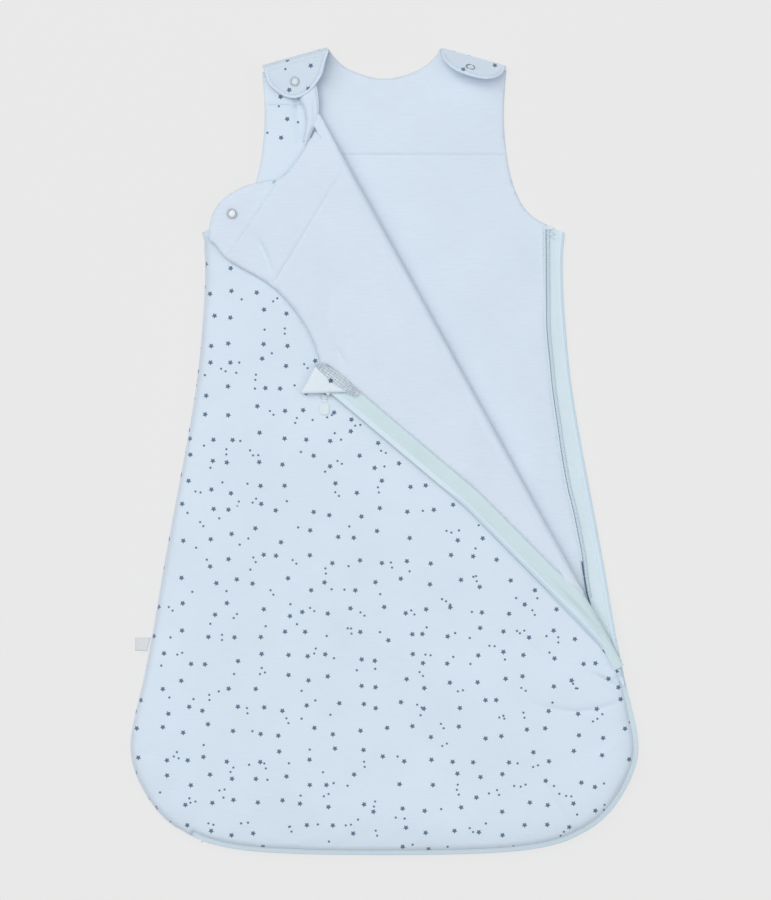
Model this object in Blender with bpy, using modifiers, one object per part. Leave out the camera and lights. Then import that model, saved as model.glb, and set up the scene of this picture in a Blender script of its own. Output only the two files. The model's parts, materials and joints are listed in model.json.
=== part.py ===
"""Padded baby sleeping bag, laid out flat on its back with one top corner of the front folded open.

Metres, +Z up, +Y towards the head. The origin is under the middle of the bag, on the surface it lies on.
Left and right are as seen from above, with the head end at the top.
"""

import math

import bmesh
import bpy
import numpy as np
from mathutils import Matrix, Quaternion, Vector

# ---- driving dimensions -------------------------------------------------------------------------
GAP = 0.0003  # between pieces that touch
STRAIGHT_ON = math.radians(12)  # two lines that turn less than this have no corner

FABRIC = 0.0008  # one layer of jersey
WADDING = 0.0040
PANEL = 2 * FABRIC + WADDING + 2 * GAP  # a padded panel: shell, wadding, lining
CAVITY = 0.0124  # between the back and the front
FLAP_GAP = 0.0025  # between the front and the corner folded over it

BACK_TOP = PANEL
FRONT_BOTTOM = BACK_TOP + CAVITY
FRONT_TOP = FRONT_BOTTOM + PANEL
FLAP_BOTTOM = FRONT_TOP + FLAP_GAP
FLAP_TOP = FLAP_BOTTOM + PANEL
FLAP_MIDDLE = (FLAP_BOTTOM + FLAP_TOP) / 2

BINDING = 0.0040  # width of the binding round the neck and the armholes
BINDING_CUTS = {  # how far each binding stops short of the start and the end of its edge
    "back_neck_binding": (0.008, 0.008),
    "back_armhole_binding_right": (0.009, 0.020),
    "back_armhole_binding_left": (0.005, 0.011),
    "front_neck_binding_left": (0.003, 0.010),
    "front_armhole_binding_left": (0.005, 0.014),
    "flap_armhole_binding": (0.001, 0.001),
    "flap_tab_binding": (0.001, 0.001),
    "flap_neck_binding": (0.001, 0.017),
}
FOLD_START = 0.0120  # from the neck to the start of the roll at the fold
FOLD_STOP = 0.0080  # from the other end of the roll to the zip
FRONT_TAB_INSET = 0.0085  # from the shoulder edge to the top of the front, clear of the cloth bent over it
NECK_END = 0.0220  # of the flap's neck edge, where the fold leaves no room for cloth beside the binding
SEAM_INSET = 0.0004
SEAM_WIDTH = 0.0024
SEAM_CLEAR = 0.0120  # from the lower end of the zip to the start of the side seam
LABEL_THICK = 0.0008

TAPE = 0.0170  # one half of the zip, from its seam to its outer edge
TAPE_THICK = 0.0010
TAPE_Z = PANEL / 2
TAPE_TO_COIL = 0.0031  # from the outer edge to the tape's own edge, which is beside the teeth
COIL = 0.0011  # radius of one row of teeth
COIL_INSET = 0.0014
CLOSED_INSET = 0.0022  # where the two halves stand upright, round the foot
CLOSED_PANEL_INSET = 0.0043
OPEN_END_Y = -0.160  # the back half lies flat above here
CLOSED_START_Y = -0.225  # and stands upright below here
FOOT_MIDDLE_Z = BACK_TOP + CAVITY / 2
FOOT_COIL_STEP = 0.00125  # from the middle of the foot up or down to each row of teeth
FOOT_TAPE_STEP = 0.0030
STOP_CLEAR = 0.0090  # from the lower end of the zip to the ends of its tapes
STOP_LENGTH = 0.0050
PIN_LENGTH = 0.0080
RETAINING_BOX = 0.0040
RETAINING_BOX_HALF_HEIGHT = 0.0018
RETAINING_BOX_HALF_WIDTH = 0.0022
STOP_SIDE = 0.0003  # of the bottom stop beyond the teeth
TAPE_TO_FOLD = 0.0020
COIL_START = 0.0095  # from the top of the back half to its first tooth, past the pin
COIL_END = 0.0340  # of the zip at the end of the fold, where the teeth run under the roll of cloth
WEDGE_LENGTH = 0.0820  # of the zip at the end of the fold, where there is no room for cloth beside the tape

SLIDER_LENGTH = 0.0090
SLIDER_HALF_WIDTH = 0.0040
SLIDER_HALF_HEIGHT = 0.0026
SLIDER_CHANNEL = 0.0017  # half the height inside
SLIDER_BACK = -0.0019  # inner side of the closed back
SLIDER_LIP = 0.0022  # inner side of the two lips that hold the teeth
SLIDER_MOUTH = 0.0009  # half the slot the tape passes through
GARAGE_Z = FLAP_TOP + GAP
GARAGE_THICK = 0.0012
PULL_HINGE = Vector((-0.0520, 0.0450, FLAP_MIDDLE - 0.0036))
BAIL_HALF = 0.0033
BAIL_LENGTH = 0.0075
BAIL_WIRE = 0.0005
LINK_HALF = 0.0022
LINK_HALF_THICK = 0.0006
LINK_END = 0.0420
EYE_R = 0.0013
EYE_HOLE_R = 0.0008
EYE_SLOT = 0.5  # radians to each side of the link, where the eye joins it
GRIP_HALF = 0.0040
GRIP_HALF_THICK = 0.0008
GRIP_CORNER = 0.0020
GRIP_END = 0.0310

LEFT_FOLD = 0.0060  # how far a shoulder hinge lies inside the shoulder edge
RIGHT_FOLD = 0.0043
SHOULDER_CLOTH = 0.0017
SHOULDER_CLEAR = (0.006, 0.006)  # from the ends of a shoulder to the bent cloth
SHOULDER_FULLNESS = 0.6  # the lower this is, the squarer the cloth bends over the left shoulder
RIGHT_BEND = np.radians(np.linspace(-82, 20, 7))  # the bent cloth of the right shoulder, from level
RIGHT_SNAP_OFFSET = (-0.0065, 0.0021)  # the right snap is sewn this much nearer the neck than the left one
TAB_GAP = 0.0027  # between the front's tab and the back tab snapped over it
TAB_BINDING = 0.0026
TAB_BINDING_CUTS = (0.0015, 0.0045)  # beyond the hinge, at the two ends
RIGHT_TAB_TILT = math.radians(56)
LEFT_HINGE_Z = 0.0160
RIGHT_HINGE_Z = 0.0080
RIGHT_TAB_LIFT = 0.0025  # from the hinge to the tab's lining, square to the tab

SNAP_R = 0.0043
SNAP_WIRE = 0.0006
SOCKET_R = 0.0027
SOCKET_DEEP = 0.0012
STUD_R = 0.0016
STUD_BASE = 0.0006
STUD_HEIGHT = 0.0019


# ---- outlines, in millimetres, clockwise from above ---------------------------------------------
def metres(points):
    """Points in millimetres as points in metres."""
    return [(x / 1000, y / 1000) for x, y in points]


def mirrored(points):
    """The same line on the other side of the bag, still clockwise."""
    return [(-x, y) for x, y in reversed(points)]


HALF_NECK = metres([(0, 323), (30, 331), (44.5, 343), (48, 350)])
SHOULDER = metres([(48, 350), (107, 331)])
ARMHOLE = metres([(107, 331), (104.5, 305), (104.5, 278), (109, 243), (118, 217), (131, 202), (157, 190)])
SIDE = metres(
    [(157, 190), (155, 157), (158, 102), (166, 35), (190, -95), (199, -149), (208, -196), (220, -250)]
)
CORNER = metres([(220, -250), (216.5, -278), (202, -305), (186, -322), (168, -333)])
FOOT = metres([(168, -333), (151, -340), (120, -346), (73, -349), (0, -350)])

FRONT_NECK = metres([(-60, 337), (-59.5, 316), (-57, 306), (-56.5, 297), (-57, 291)])
FOLD_EDGE = metres([(-57, 291), (208.7, -190)])  # the outer side of the fold across the front
FRONT_TAB_SEAM = metres([(-220, 300), (220, 300)])
BACK_YOKE_SEAM = metres([(-220, 258), (220, 258)])

FLAP_ZIP = metres([(202, -186), (174, -155), (135, -115), (70.2, -49.5), (-45.5, 48), (-54.7, 55.8)])
FLAP_ARMHOLE = metres([(-57, 79), (-61, 92), (-72, 113), (-95, 140), (-124.5, 158), (-138, 166)])
FLAP_TAB = metres([(-138, 166), (-151, 183), (-152, 197), (-143, 215.5), (-120, 230), (-91, 235.5)])
FLAP_NECK = metres([(-91, 235.5), (-82, 243), (-70, 261), (-61, 279), (-57, 291)])
FLAP_YOKE_SEAM = metres([(-34, 247.5), (-96.7, 143.5)])
GARAGE = metres([(-73, 49), (-58, 77), (-24, 50.7)])

TAB = metres(
    [(-49, 349), (-53.5, 335), (-59, 318.5), (-67, 308)]
    + [(-76, 305), (-88, 309.5), (-97.5, 318.5), (-106.5, 331)]
)
LEFT_SNAP = Vector((-0.0776, 0.3195))
FLAP_SNAP = Vector((-0.1320, 0.2050))
LABEL = metres([(-216.5, -162.5), (-204.6, -162.5), (-207.2, -174), (-216.5, -174)])


# ---- lines and outlines -------------------------------------------------------------------------
def smooth(points, steps=3):
    """A smooth line through the points, with this many steps between two of them."""
    line = [points[0]]
    padded = [points[0]] + list(points) + [points[-1]]
    for a, b, c, d in zip(padded, padded[1:], padded[2:], padded[3:]):
        a, b, c, d = (np.array(p) for p in (a, b, c, d))
        for t in np.linspace(0, 1, steps + 1)[1:]:
            p = b + 0.5 * t * (c - a + t * (2 * a - 5 * b + 4 * c - d + t * (3 * (b - c) + d - a)))
            line.append((float(p[0]), float(p[1])))
    return line


def inset(line, distance):
    """The line moved to its right-hand side, by one distance or by one for each of its points."""
    points = np.array(line)
    along = np.gradient(points, axis=0)
    along /= np.linalg.norm(along, axis=1)[:, None]
    right = np.stack([along[:, 1], -along[:, 0]], axis=1)
    moved = points + right * np.broadcast_to(distance, len(points))[:, None]
    return [tuple(map(float, p)) for p in moved]


def crossing(a, b, c, d):
    """Where the straight lines ab and cd cross."""
    a, b, c, d = (Vector(p) for p in (a, b, c, d))
    one, other = b - a, d - c
    t = (c - a).cross(other) / one.cross(other)
    return tuple(a + one * t)


def joined(*lines):
    """One closed outline from lines in turn: they meet where they cross, or in a small step."""
    outline = []
    for before, line in zip((lines[-1],) + lines[:-1], lines):
        one = Vector(before[-1]) - Vector(before[-2])
        other = Vector(line[1]) - Vector(line[0])
        if one.angle(other) < STRAIGHT_ON:
            outline += [before[-1], line[0]]
        else:
            outline.append(crossing(before[-2], before[-1], line[0], line[1]))
        outline += line[1:-1]
    return outline


def clipped(outline, seam, side=1, gap=GAP / 2):
    """The part of the outline on the right-hand side of the seam, or on its left with side -1."""
    start, end = (Vector(p) for p in seam)
    along = (end - start).normalized()
    normal = Vector((along.y, -along.x)) * side
    depth = [(Vector(p) - start).dot(normal) - gap for p in outline]
    kept = []
    for p, q, dp, dq in zip(outline, outline[1:] + outline[:1], depth, depth[1:] + depth[:1]):
        if dp >= 0:
            kept.append(p)
        if (dp >= 0) != (dq >= 0):
            kept.append(tuple(Vector(p).lerp(Vector(q), dp / (dp - dq))))
    return kept


def strip(line, outer, inner):
    """The outline of a flat band between two insets of one line."""
    return inset(line, outer) + inset(line, inner)[::-1]


def shortened(line, start, end):
    """The line without its first and last stretches, of these lengths."""
    points = np.array(line)
    travelled = np.append(0, np.cumsum(np.linalg.norm(np.diff(points, axis=0), axis=1)))
    inside = (travelled > start) & (travelled < travelled[-1] - end)
    reach = np.concatenate([[start], travelled[inside], [travelled[-1] - end]])
    xs, ys = (np.interp(reach, travelled, points[:, i]) for i in (0, 1))
    return list(zip(xs.tolist(), ys.tolist()))


def closed_share(point):
    """0 where the zip lies open and flat, 1 where its two halves stand together."""
    if point[0] < 0:
        return 1.0
    share = (OPEN_END_Y - point[1]) / (OPEN_END_Y - CLOSED_START_Y)
    return min(max(share, 0.0), 1.0)


def by_share(line, when_open, when_closed):
    """One value for each point of the line, between these two."""
    return [when_open + (when_closed - when_open) * closed_share(p) for p in line]


NECK_LINE = smooth(mirrored(HALF_NECK)[:-1] + HALF_NECK)
RIGHT_ARMHOLE = smooth(ARMHOLE)
LEFT_ARMHOLE = mirrored(RIGHT_ARMHOLE)
ZIP_LINE = smooth(SIDE[:-1] + CORNER[:-1] + FOOT[:-1] + mirrored(FOOT))
LEFT_SIDE = smooth(mirrored(SIDE[:-1] + CORNER))
FOLD_DIRECTION = (Vector(FOLD_EDGE[1]) - Vector(FOLD_EDGE[0])).normalized()
FOLD_RADIUS = (FLAP_TOP - FRONT_BOTTOM) / 2
FOLD_Z = (FLAP_TOP + FRONT_BOTTOM) / 2
FOLD_LINE = inset(FOLD_EDGE, FOLD_RADIUS)
CHAIN_DIRECTION = (Vector(FLAP_ZIP[3]) - Vector(FLAP_ZIP[4])).normalized()
FLAP_ZIP_LINE = smooth(FLAP_ZIP[:4])[:-1] + [FLAP_ZIP[3], FLAP_ZIP[5]]
FRONT_ZIP_LINE = [p for p in ZIP_LINE if p[1] < FOLD_EDGE[1][1] - 0.010 or p[0] < 0]


# ---- building -----------------------------------------------------------------------------------
for old in list(bpy.data.objects):
    bpy.data.objects.remove(old)

BAG = bpy.data.collections.new("baby_sleeping_bag")
bpy.context.scene.collection.children.link(BAG)


def material(name, colour, roughness=0.9, metallic=0.0):
    made = bpy.data.materials.new(name)
    made.use_nodes = True
    shader = made.node_tree.nodes["Principled BSDF"]
    shader.inputs["Base Color"].default_value = (*colour, 1.0)
    shader.inputs["Roughness"].default_value = roughness
    shader.inputs["Metallic"].default_value = metallic
    return made


SHELL = material("printed_jersey", (0.64, 0.73, 0.84))
LINING = material("plain_jersey", (0.66, 0.75, 0.86))
FILLING = material("wadding", (0.85, 0.86, 0.86))
BOUND = material("binding", (0.69, 0.79, 0.91))
MINT = material("zip_tape", (0.60, 0.75, 0.80))
MINT_NYLON = material("zip_teeth", (0.63, 0.81, 0.83), 0.45)
WHITE = material("white_cloth", (0.78, 0.80, 0.81))
STEEL = material("plated_metal", (0.55, 0.56, 0.56), 0.3, 1.0)
PEARL = material("white_plastic", (0.82, 0.85, 0.83), 0.35)


def placed(name, data, surface, parent=None):
    """An object for this curve or mesh, which follows its parent without moving now."""
    made = bpy.data.objects.new(name, data)
    data.materials.append(surface)
    BAG.objects.link(made)
    if parent:
        made.parent = parent
        made.matrix_parent_inverse = Matrix.Translation(-parent.location)
    return made


def hinge(name, place):
    """An empty on a joint's axis, for the pieces of one moving body."""
    empty = bpy.data.objects.new(name, None)
    empty.location = place
    empty.empty_display_size = 0.02
    BAG.objects.link(empty)
    return empty


def add_outline(curve, outline):
    spline = curve.splines.new("POLY")
    spline.points.add(len(outline) - 1)
    for point, (x, y) in zip(spline.points, outline):
        point.co = (x, y, 0, 1)
    spline.use_cyclic_u = True


def flat_curve(name, outlines, thickness):
    """A filled 2D curve with these outlines, thickened evenly to both sides."""
    curve = bpy.data.curves.new(name, "CURVE")
    curve.dimensions = "2D"
    curve.fill_mode = "BOTH"
    curve.extrude = thickness / 2
    for outline in outlines:
        add_outline(curve, outline)
    return curve


def slab(name, outline, bottom, top, surface, parent=None):
    """A flat piece with this outline between two heights."""
    made = placed(name, flat_curve(name, [outline], top - bottom), surface, parent)
    made.location.z = (top + bottom) / 2
    return made


def rectangle(half_width, half_height):
    """A rectangular profile about its middle."""
    return [
        (-half_width, -half_height),
        (half_width, -half_height),
        (half_width, half_height),
        (-half_width, half_height),
    ]


def drawn_out(name, outlines, length, middle, direction, surface, parent=None):
    """A profile in (across, up) drawn out along a level direction, evenly about its middle."""
    made = placed(name, flat_curve(name, outlines, length), surface, parent)
    along = Vector((*direction, 0)).normalized()
    across = Vector((-along.y, along.x, 0))
    turn = Matrix((across, (0, 0, 1), across.cross(Vector((0, 0, 1))))).transposed()
    made.matrix_basis = Matrix.Translation(middle) @ turn.to_4x4()
    return made


def tube(name, points, radius, surface, parent=None):
    """A round piece along these points."""
    curve = bpy.data.curves.new(name, "CURVE")
    curve.dimensions = "3D"
    curve.bevel_depth = radius
    curve.bevel_resolution = 2
    curve.use_fill_caps = True
    spline = curve.splines.new("POLY")
    spline.points.add(len(points) - 1)
    for point, place in zip(spline.points, points):
        point.co = (*place, 1)
    return placed(name, curve, surface, parent)


def ribbon(name, one_edge, other_edge, thickness, surface, parent=None):
    """A band of even thickness between two edges that have the same number of points."""
    mesh = bpy.data.meshes.new(name)
    built = bmesh.new()
    rows = [[built.verts.new(p) for p in edge] for edge in (one_edge, other_edge)]
    for a, b, c, d in zip(rows[0], rows[0][1:], rows[1][1:], rows[1]):
        built.faces.new((a, b, c, d))
    built.to_mesh(mesh)
    built.free()
    made = placed(name, mesh, surface, parent)
    solid = made.modifiers.new("Thickness", "SOLIDIFY")
    solid.thickness = thickness
    solid.offset = 0
    return made


def ring(name, centre, radius, wire, surface, parent=None):
    """A ring of round wire lying flat."""
    bpy.ops.mesh.primitive_torus_add(
        major_segments=20, minor_segments=6, major_radius=radius - wire, minor_radius=wire
    )
    mesh = bpy.context.object.data
    bpy.data.objects.remove(bpy.context.object)
    mesh.shade_smooth()
    made = placed(name, mesh, surface, parent)
    made.location = centre
    return made


def turned(name, profile, centre, surface, parent=None):
    """A round piece turned from a profile of (radius, height) that runs down its outer side."""
    mesh = bpy.data.meshes.new(name)
    count = len(profile)
    hollow = profile[0][0] > 0
    edges = [(i, (i + 1) % count) for i in range(count if hollow else count - 1)]
    mesh.from_pydata([(r, 0, z) for r, z in profile], edges, [])
    made = placed(name, mesh, surface, parent)
    made.location = centre
    screw = made.modifiers.new("Turn", "SCREW")
    screw.steps = 20
    screw.render_steps = 20
    screw.use_merge_vertices = True
    screw.merge_threshold = 0.00001
    return made


def at_height(line, heights):
    """The line's points with one height, or one height each."""
    return [(x, y, float(z)) for (x, y), z in zip(line, np.broadcast_to(heights, len(line)))]


# ---- the padded panels --------------------------------------------------------------------------
def panel_layers(prefix, outline, lining_outline, bottom, shell_down, parent=None):
    """Shell, wadding and lining of one padded panel, from the bottom up or from the top down."""
    layers = [("outer_shell", outline, FABRIC, SHELL), ("wadding", outline, WADDING, FILLING)]
    layers.append(("lining", lining_outline, FABRIC, LINING))
    height = bottom
    for layer, shape, thickness, surface in layers if shell_down else reversed(layers):
        slab(f"{prefix}_{layer}", shape, height, height + thickness, surface, parent)
        height += thickness + GAP


def bound_edge(name, line, bottom, top, parent=None):
    """A binding round the edge of a panel, cut short at its two ends."""
    slab(name, strip(shortened(line, *BINDING_CUTS[name]), 0.0, BINDING), bottom, top, BOUND, parent)


def back_panel():
    """The back, which lies on the ground, with its lining in two pieces and its bound edges."""
    outline = joined(
        inset(NECK_LINE, BINDING + GAP),
        inset(SHOULDER, RIGHT_FOLD + GAP),
        inset(shortened(RIGHT_ARMHOLE, 0, TAPE), BINDING + GAP),
        inset(ZIP_LINE, by_share(ZIP_LINE, TAPE + GAP, CLOSED_PANEL_INSET)),
        LEFT_SIDE,
        inset(LEFT_ARMHOLE, BINDING + GAP),
        inset(mirrored(SHOULDER), LEFT_FOLD + GAP),
    )
    panel_layers("back", outline, clipped(outline, BACK_YOKE_SEAM), 0.0, True)
    slab("back_yoke_lining", clipped(outline, BACK_YOKE_SEAM, -1), BACK_TOP - FABRIC, BACK_TOP, LINING)
    bound_edge("back_neck_binding", NECK_LINE, 0.0, BACK_TOP)
    bound_edge("back_armhole_binding_right", RIGHT_ARMHOLE, 0.0, BACK_TOP)
    bound_edge("back_armhole_binding_left", LEFT_ARMHOLE, 0.0, BACK_TOP)


def front_panel():
    """The part of the front that stays down, with its tab at the left shoulder and its bound edges."""
    outline = joined(
        inset(mirrored(SHOULDER), FRONT_TAB_INSET),
        inset(shortened(smooth(FRONT_NECK), 0, NECK_END / 2), BINDING + GAP),
        inset(FOLD_LINE, GAP),
        inset(FRONT_ZIP_LINE, CLOSED_PANEL_INSET),
        LEFT_SIDE,
        inset(LEFT_ARMHOLE, BINDING + GAP),
    )
    body = clipped(outline, FRONT_TAB_SEAM)
    panel_layers("front", body, body, FRONT_BOTTOM, False)
    tab = clipped(outline, FRONT_TAB_SEAM, -1)
    middle = (FRONT_BOTTOM + FRONT_TOP) / 2
    slab("front_tab_outer_left", tab, middle + GAP / 2, FRONT_TOP, SHELL)
    slab("front_tab_lining_left", tab, FRONT_BOTTOM, middle - GAP / 2, LINING)
    bound_edge("front_neck_binding_left", smooth(FRONT_NECK), FRONT_BOTTOM, FRONT_TOP)
    bound_edge("front_armhole_binding_left", LEFT_ARMHOLE, FRONT_BOTTOM, FRONT_TOP)
    half_turn = np.linspace(-math.pi / 2, math.pi / 2, 13)
    half_round = [(FOLD_RADIUS * math.cos(a), FOLD_RADIUS * math.sin(a)) for a in half_turn]
    start, end = (Vector(p) for p in shortened(FOLD_LINE, FOLD_START, FOLD_STOP))
    middle = ((start + end) / 2).to_3d() + Vector((0, 0, FOLD_Z))
    drawn_out("front_fold", [half_round], (end - start).length, middle, FOLD_DIRECTION, LINING)


def side_seam_and_label():
    """The seam that joins front and back down the left side, and the small label sewn into it."""
    seam = shortened(LEFT_SIDE, SEAM_CLEAR, 0.002)
    outline = strip(seam, SEAM_INSET, SEAM_INSET + SEAM_WIDTH)
    slab("side_seam_left", outline, BACK_TOP + GAP, FRONT_BOTTOM - GAP, SHELL)
    middle = (BACK_TOP + FRONT_BOTTOM) / 2
    slab("side_label", LABEL, middle - LABEL_THICK / 2, middle + LABEL_THICK / 2, WHITE)


def flap(body):
    """The corner of the front that is folded over, lining up, with its tab and its bound edges."""
    seam = [FLAP_ARMHOLE[-1], FLAP_NECK[0]]
    chest = joined(
        inset(FOLD_LINE, GAP),
        inset(shortened(FLAP_ZIP_LINE, WEDGE_LENGTH, 0), TAPE + GAP),
        inset(smooth(FLAP_ARMHOLE), BINDING + GAP),
        inset(seam, GAP / 2),
        inset(shortened(smooth(FLAP_NECK), 0, NECK_END), BINDING + GAP),
    )
    panel_layers("flap", chest, clipped(chest, FLAP_YOKE_SEAM, -1), FLAP_BOTTOM, True, body)
    yoke = clipped(chest, FLAP_YOKE_SEAM)
    slab("flap_yoke_lining", yoke, FLAP_TOP - FABRIC, FLAP_TOP, LINING, body)
    tab = joined(inset(smooth(FLAP_TAB), BINDING + GAP), inset(seam[::-1], GAP / 2))
    slab("flap_tab_outer", tab, FLAP_BOTTOM, FLAP_MIDDLE - GAP / 2, SHELL, body)
    slab("flap_tab_lining", tab, FLAP_MIDDLE + GAP / 2, FLAP_TOP, LINING, body)
    bound_edge("flap_armhole_binding", smooth(FLAP_ARMHOLE), FLAP_BOTTOM, FLAP_TOP, body)
    bound_edge("flap_tab_binding", smooth(FLAP_TAB), FLAP_BOTTOM, FLAP_TOP, body)
    bound_edge("flap_neck_binding", smooth(FLAP_NECK), FLAP_BOTTOM, FLAP_TOP, body)


# ---- the zip ------------------------------------------------------------------------------------
def zip_on_the_back():
    """The back half: flat down the open side, standing upright round the foot, with its pin at the top."""
    line = shortened(ZIP_LINE, 0.001, STOP_CLEAR)
    sewn = inset(line, by_share(line, TAPE - GAP, CLOSED_INSET))
    free = inset(line, by_share(line, TAPE_TO_COIL, CLOSED_INSET))
    free_z = by_share(line, TAPE_Z, FOOT_MIDDLE_Z - FOOT_TAPE_STEP)
    ribbon("zip_tape_back", at_height(sewn, TAPE_Z), at_height(free, free_z), TAPE_THICK, MINT)
    line = shortened(ZIP_LINE, COIL_START, STOP_CLEAR)
    coil = inset(line, COIL_INSET)
    coil_z = by_share(line, TAPE_Z, FOOT_MIDDLE_Z - FOOT_COIL_STEP)
    tube("zip_coil_back", at_height(coil, coil_z), COIL, MINT_NYLON)
    pin = inset(shortened(ZIP_LINE, 0.001, 0)[:2], COIL_INSET)
    start, end = (Vector(p) for p in pin)
    end = start + (end - start).normalized() * PIN_LENGTH
    tube("zip_insertion_pin", at_height([start, end], TAPE_Z), COIL, STEEL)


def zip_round_the_foot():
    """The front half where it is not folded over: it stands upright above the back half."""
    line = shortened(FRONT_ZIP_LINE, 0.004, STOP_CLEAR)
    edge = inset(line, CLOSED_INSET)
    low, high = FOOT_MIDDLE_Z + FOOT_TAPE_STEP, (FRONT_BOTTOM + FRONT_TOP) / 2
    ribbon("zip_tape_front_lower", at_height(edge, high), at_height(edge, low), TAPE_THICK, MINT)
    coil = inset(line, COIL_INSET)
    tube("zip_coil_front_lower", at_height(coil, FOOT_MIDDLE_Z + FOOT_COIL_STEP), COIL, MINT_NYLON)
    end = Vector(inset(shortened(ZIP_LINE, 0, STOP_CLEAR - STOP_LENGTH), COIL_INSET)[-1])
    start = Vector(inset(shortened(ZIP_LINE, 0, STOP_CLEAR - GAP), COIL_INSET)[-1])
    height = 2 * (FOOT_COIL_STEP + COIL)
    box = rectangle(COIL + STOP_SIDE, height / 2)
    middle = ((start + end) / 2).to_3d() + Vector((0, 0, FOOT_MIDDLE_Z))
    drawn_out("zip_bottom_stop", [box], (end - start).length, middle, end - start, MINT_NYLON)


def zip_on_the_flap(body):
    """The front half on the folded corner: tape, teeth, the box they start from and the guard over them."""
    tape = clipped(strip(FLAP_ZIP_LINE, TAPE_TO_COIL, TAPE), FOLD_LINE, gap=TAPE_TO_FOLD)
    slab("zip_tape_flap", tape, FLAP_MIDDLE - TAPE_THICK / 2, FLAP_MIDDLE + TAPE_THICK / 2, MINT, body)
    coil = inset(shortened(FLAP_ZIP_LINE, COIL_END, 0), COIL_INSET)
    tube("zip_coil_flap", at_height(coil, FLAP_MIDDLE), COIL, MINT_NYLON, body)
    box = rectangle(RETAINING_BOX_HALF_WIDTH, RETAINING_BOX_HALF_HEIGHT)
    middle = Vector(coil[-1]) - CHAIN_DIRECTION * (RETAINING_BOX / 2 + GAP)
    place = middle.to_3d() + Vector((0, 0, FLAP_MIDDLE))
    drawn_out("zip_retaining_box", [box], RETAINING_BOX, place, CHAIN_DIRECTION, MINT_NYLON, body)
    slab("zip_garage", GARAGE, GARAGE_Z, GARAGE_Z + GARAGE_THICK, WHITE, body)


def slider_start():
    """The middle of the slider at rest, on the teeth of the folded corner."""
    coil = inset(FLAP_ZIP_LINE, COIL_INSET)
    return Vector(coil[-1]) + CHAIN_DIRECTION * (SLIDER_LENGTH / 2 + 0.001)


def zip_slider(body):
    """The slider round the teeth, open towards the tape, with a wire bail under it."""
    side, wall = SLIDER_HALF_WIDTH, SLIDER_HALF_HEIGHT
    upper = [(side, wall), (side, SLIDER_MOUTH), (SLIDER_LIP, SLIDER_MOUTH), (SLIDER_LIP, SLIDER_CHANNEL)]
    upper = [(-side, wall)] + upper + [(SLIDER_BACK, SLIDER_CHANNEL)]
    profile = upper + [(across, -up) for across, up in reversed(upper)]
    place = slider_start().to_3d() + Vector((0, 0, FLAP_MIDDLE))
    drawn_out("slider_body", [profile], SLIDER_LENGTH, place, CHAIN_DIRECTION, MINT_NYLON, body)
    left, right = PULL_HINGE.x - BAIL_HALF, PULL_HINGE.x + BAIL_HALF
    near, far, low = PULL_HINGE.y, PULL_HINGE.y + BAIL_LENGTH, PULL_HINGE.z
    bail = [(left, far, low), (left, near, low), (right, near, low), (right, far, low)]
    tube("slider_bail", bail, BAIL_WIRE, MINT_NYLON, body)


def zip_pull(body):
    """The pull: a link with an eye round the bail, and the grip on its end."""
    around = np.linspace(math.pi - EYE_SLOT, -math.pi + EYE_SLOT, 17)
    tail = LINK_END - PULL_HINGE.y
    outer = [(EYE_R * math.cos(a), EYE_R * math.sin(a)) for a in around]
    outer += [(tail, -LINK_HALF_THICK), (tail, LINK_HALF_THICK)]
    around = np.linspace(0, 2 * math.pi, 13)[:-1]
    inner = [(EYE_HOLE_R * math.cos(a), EYE_HOLE_R * math.sin(a)) for a in around]
    drawn_out("pull_link", [outer, inner], 2 * LINK_HALF, PULL_HINGE, (1, 0), MINT_NYLON, body)
    top, bottom, corner = LINK_END - GAP, GRIP_END, GRIP_CORNER
    half = [(LINK_HALF, top), (GRIP_HALF, top - corner), (GRIP_HALF, bottom + corner)]
    half.append((GRIP_HALF - corner, bottom))
    outline = [(PULL_HINGE.x + x, y) for x, y in half]
    outline += [(PULL_HINGE.x - x, y) for x, y in reversed(half)]
    low, high = PULL_HINGE.z - GRIP_HALF_THICK, PULL_HINGE.z + GRIP_HALF_THICK
    slab("pull_grip", outline, low, high, MINT_NYLON, body)


# ---- the shoulder tabs --------------------------------------------------------------------------
def shoulder_tab(side, edge, shoulder, fold, snap, lining_bottom, body):
    """A back tab with its lining and its binding, and the upper half of its snap."""
    hinge_line = inset(shoulder, fold)
    padded = inset(edge, TAB_BINDING + GAP)
    outline = clipped(padded, hinge_line)
    outer_bottom = lining_bottom + FABRIC + GAP
    top = outer_bottom + FABRIC
    slab(f"{side}_tab_lining", outline, lining_bottom, lining_bottom + FABRIC, LINING, body)
    slab(f"{side}_tab_outer", outline, outer_bottom, top, SHELL, body)
    start, end = (fold + cut for cut in TAB_BINDING_CUTS)
    band = strip(shortened(edge, start, end), 0.0, TAB_BINDING)
    slab(f"{side}_tab_binding", band, lining_bottom, top, BOUND, body)
    ring(f"snap_cap_{side}", (*snap, top + GAP + SNAP_WIRE), SNAP_R, SNAP_WIRE, STEEL, body)
    rim = [(SOCKET_R, 0), (SNAP_R, 0), (SNAP_R, -SOCKET_DEEP), (SOCKET_R, -SOCKET_DEEP)]
    turned(f"snap_socket_{side}", rim, (*snap, lining_bottom - GAP), PEARL, body)


def snap_stud(side, centre, face, up, ring_face, parent=None):
    """The lower half of a snap: a stud on the shell side and its ring on the lining side."""
    rim = [(0, STUD_HEIGHT), (STUD_R, STUD_HEIGHT), (STUD_R, STUD_BASE)]
    rim += [(SNAP_R, STUD_BASE), (SNAP_R, 0), (0, 0)]
    if not up:
        rim = [(r, -z) for r, z in reversed(rim)]
    sign = 1 if up else -1
    turned(f"snap_stud_{side}", rim, (*centre, face + sign * GAP), PEARL, parent)
    height = ring_face - sign * (GAP + SNAP_WIRE)
    ring(f"snap_stud_ring_{side}", (*centre, height), SNAP_R, SNAP_WIRE, STEEL, parent)


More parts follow.
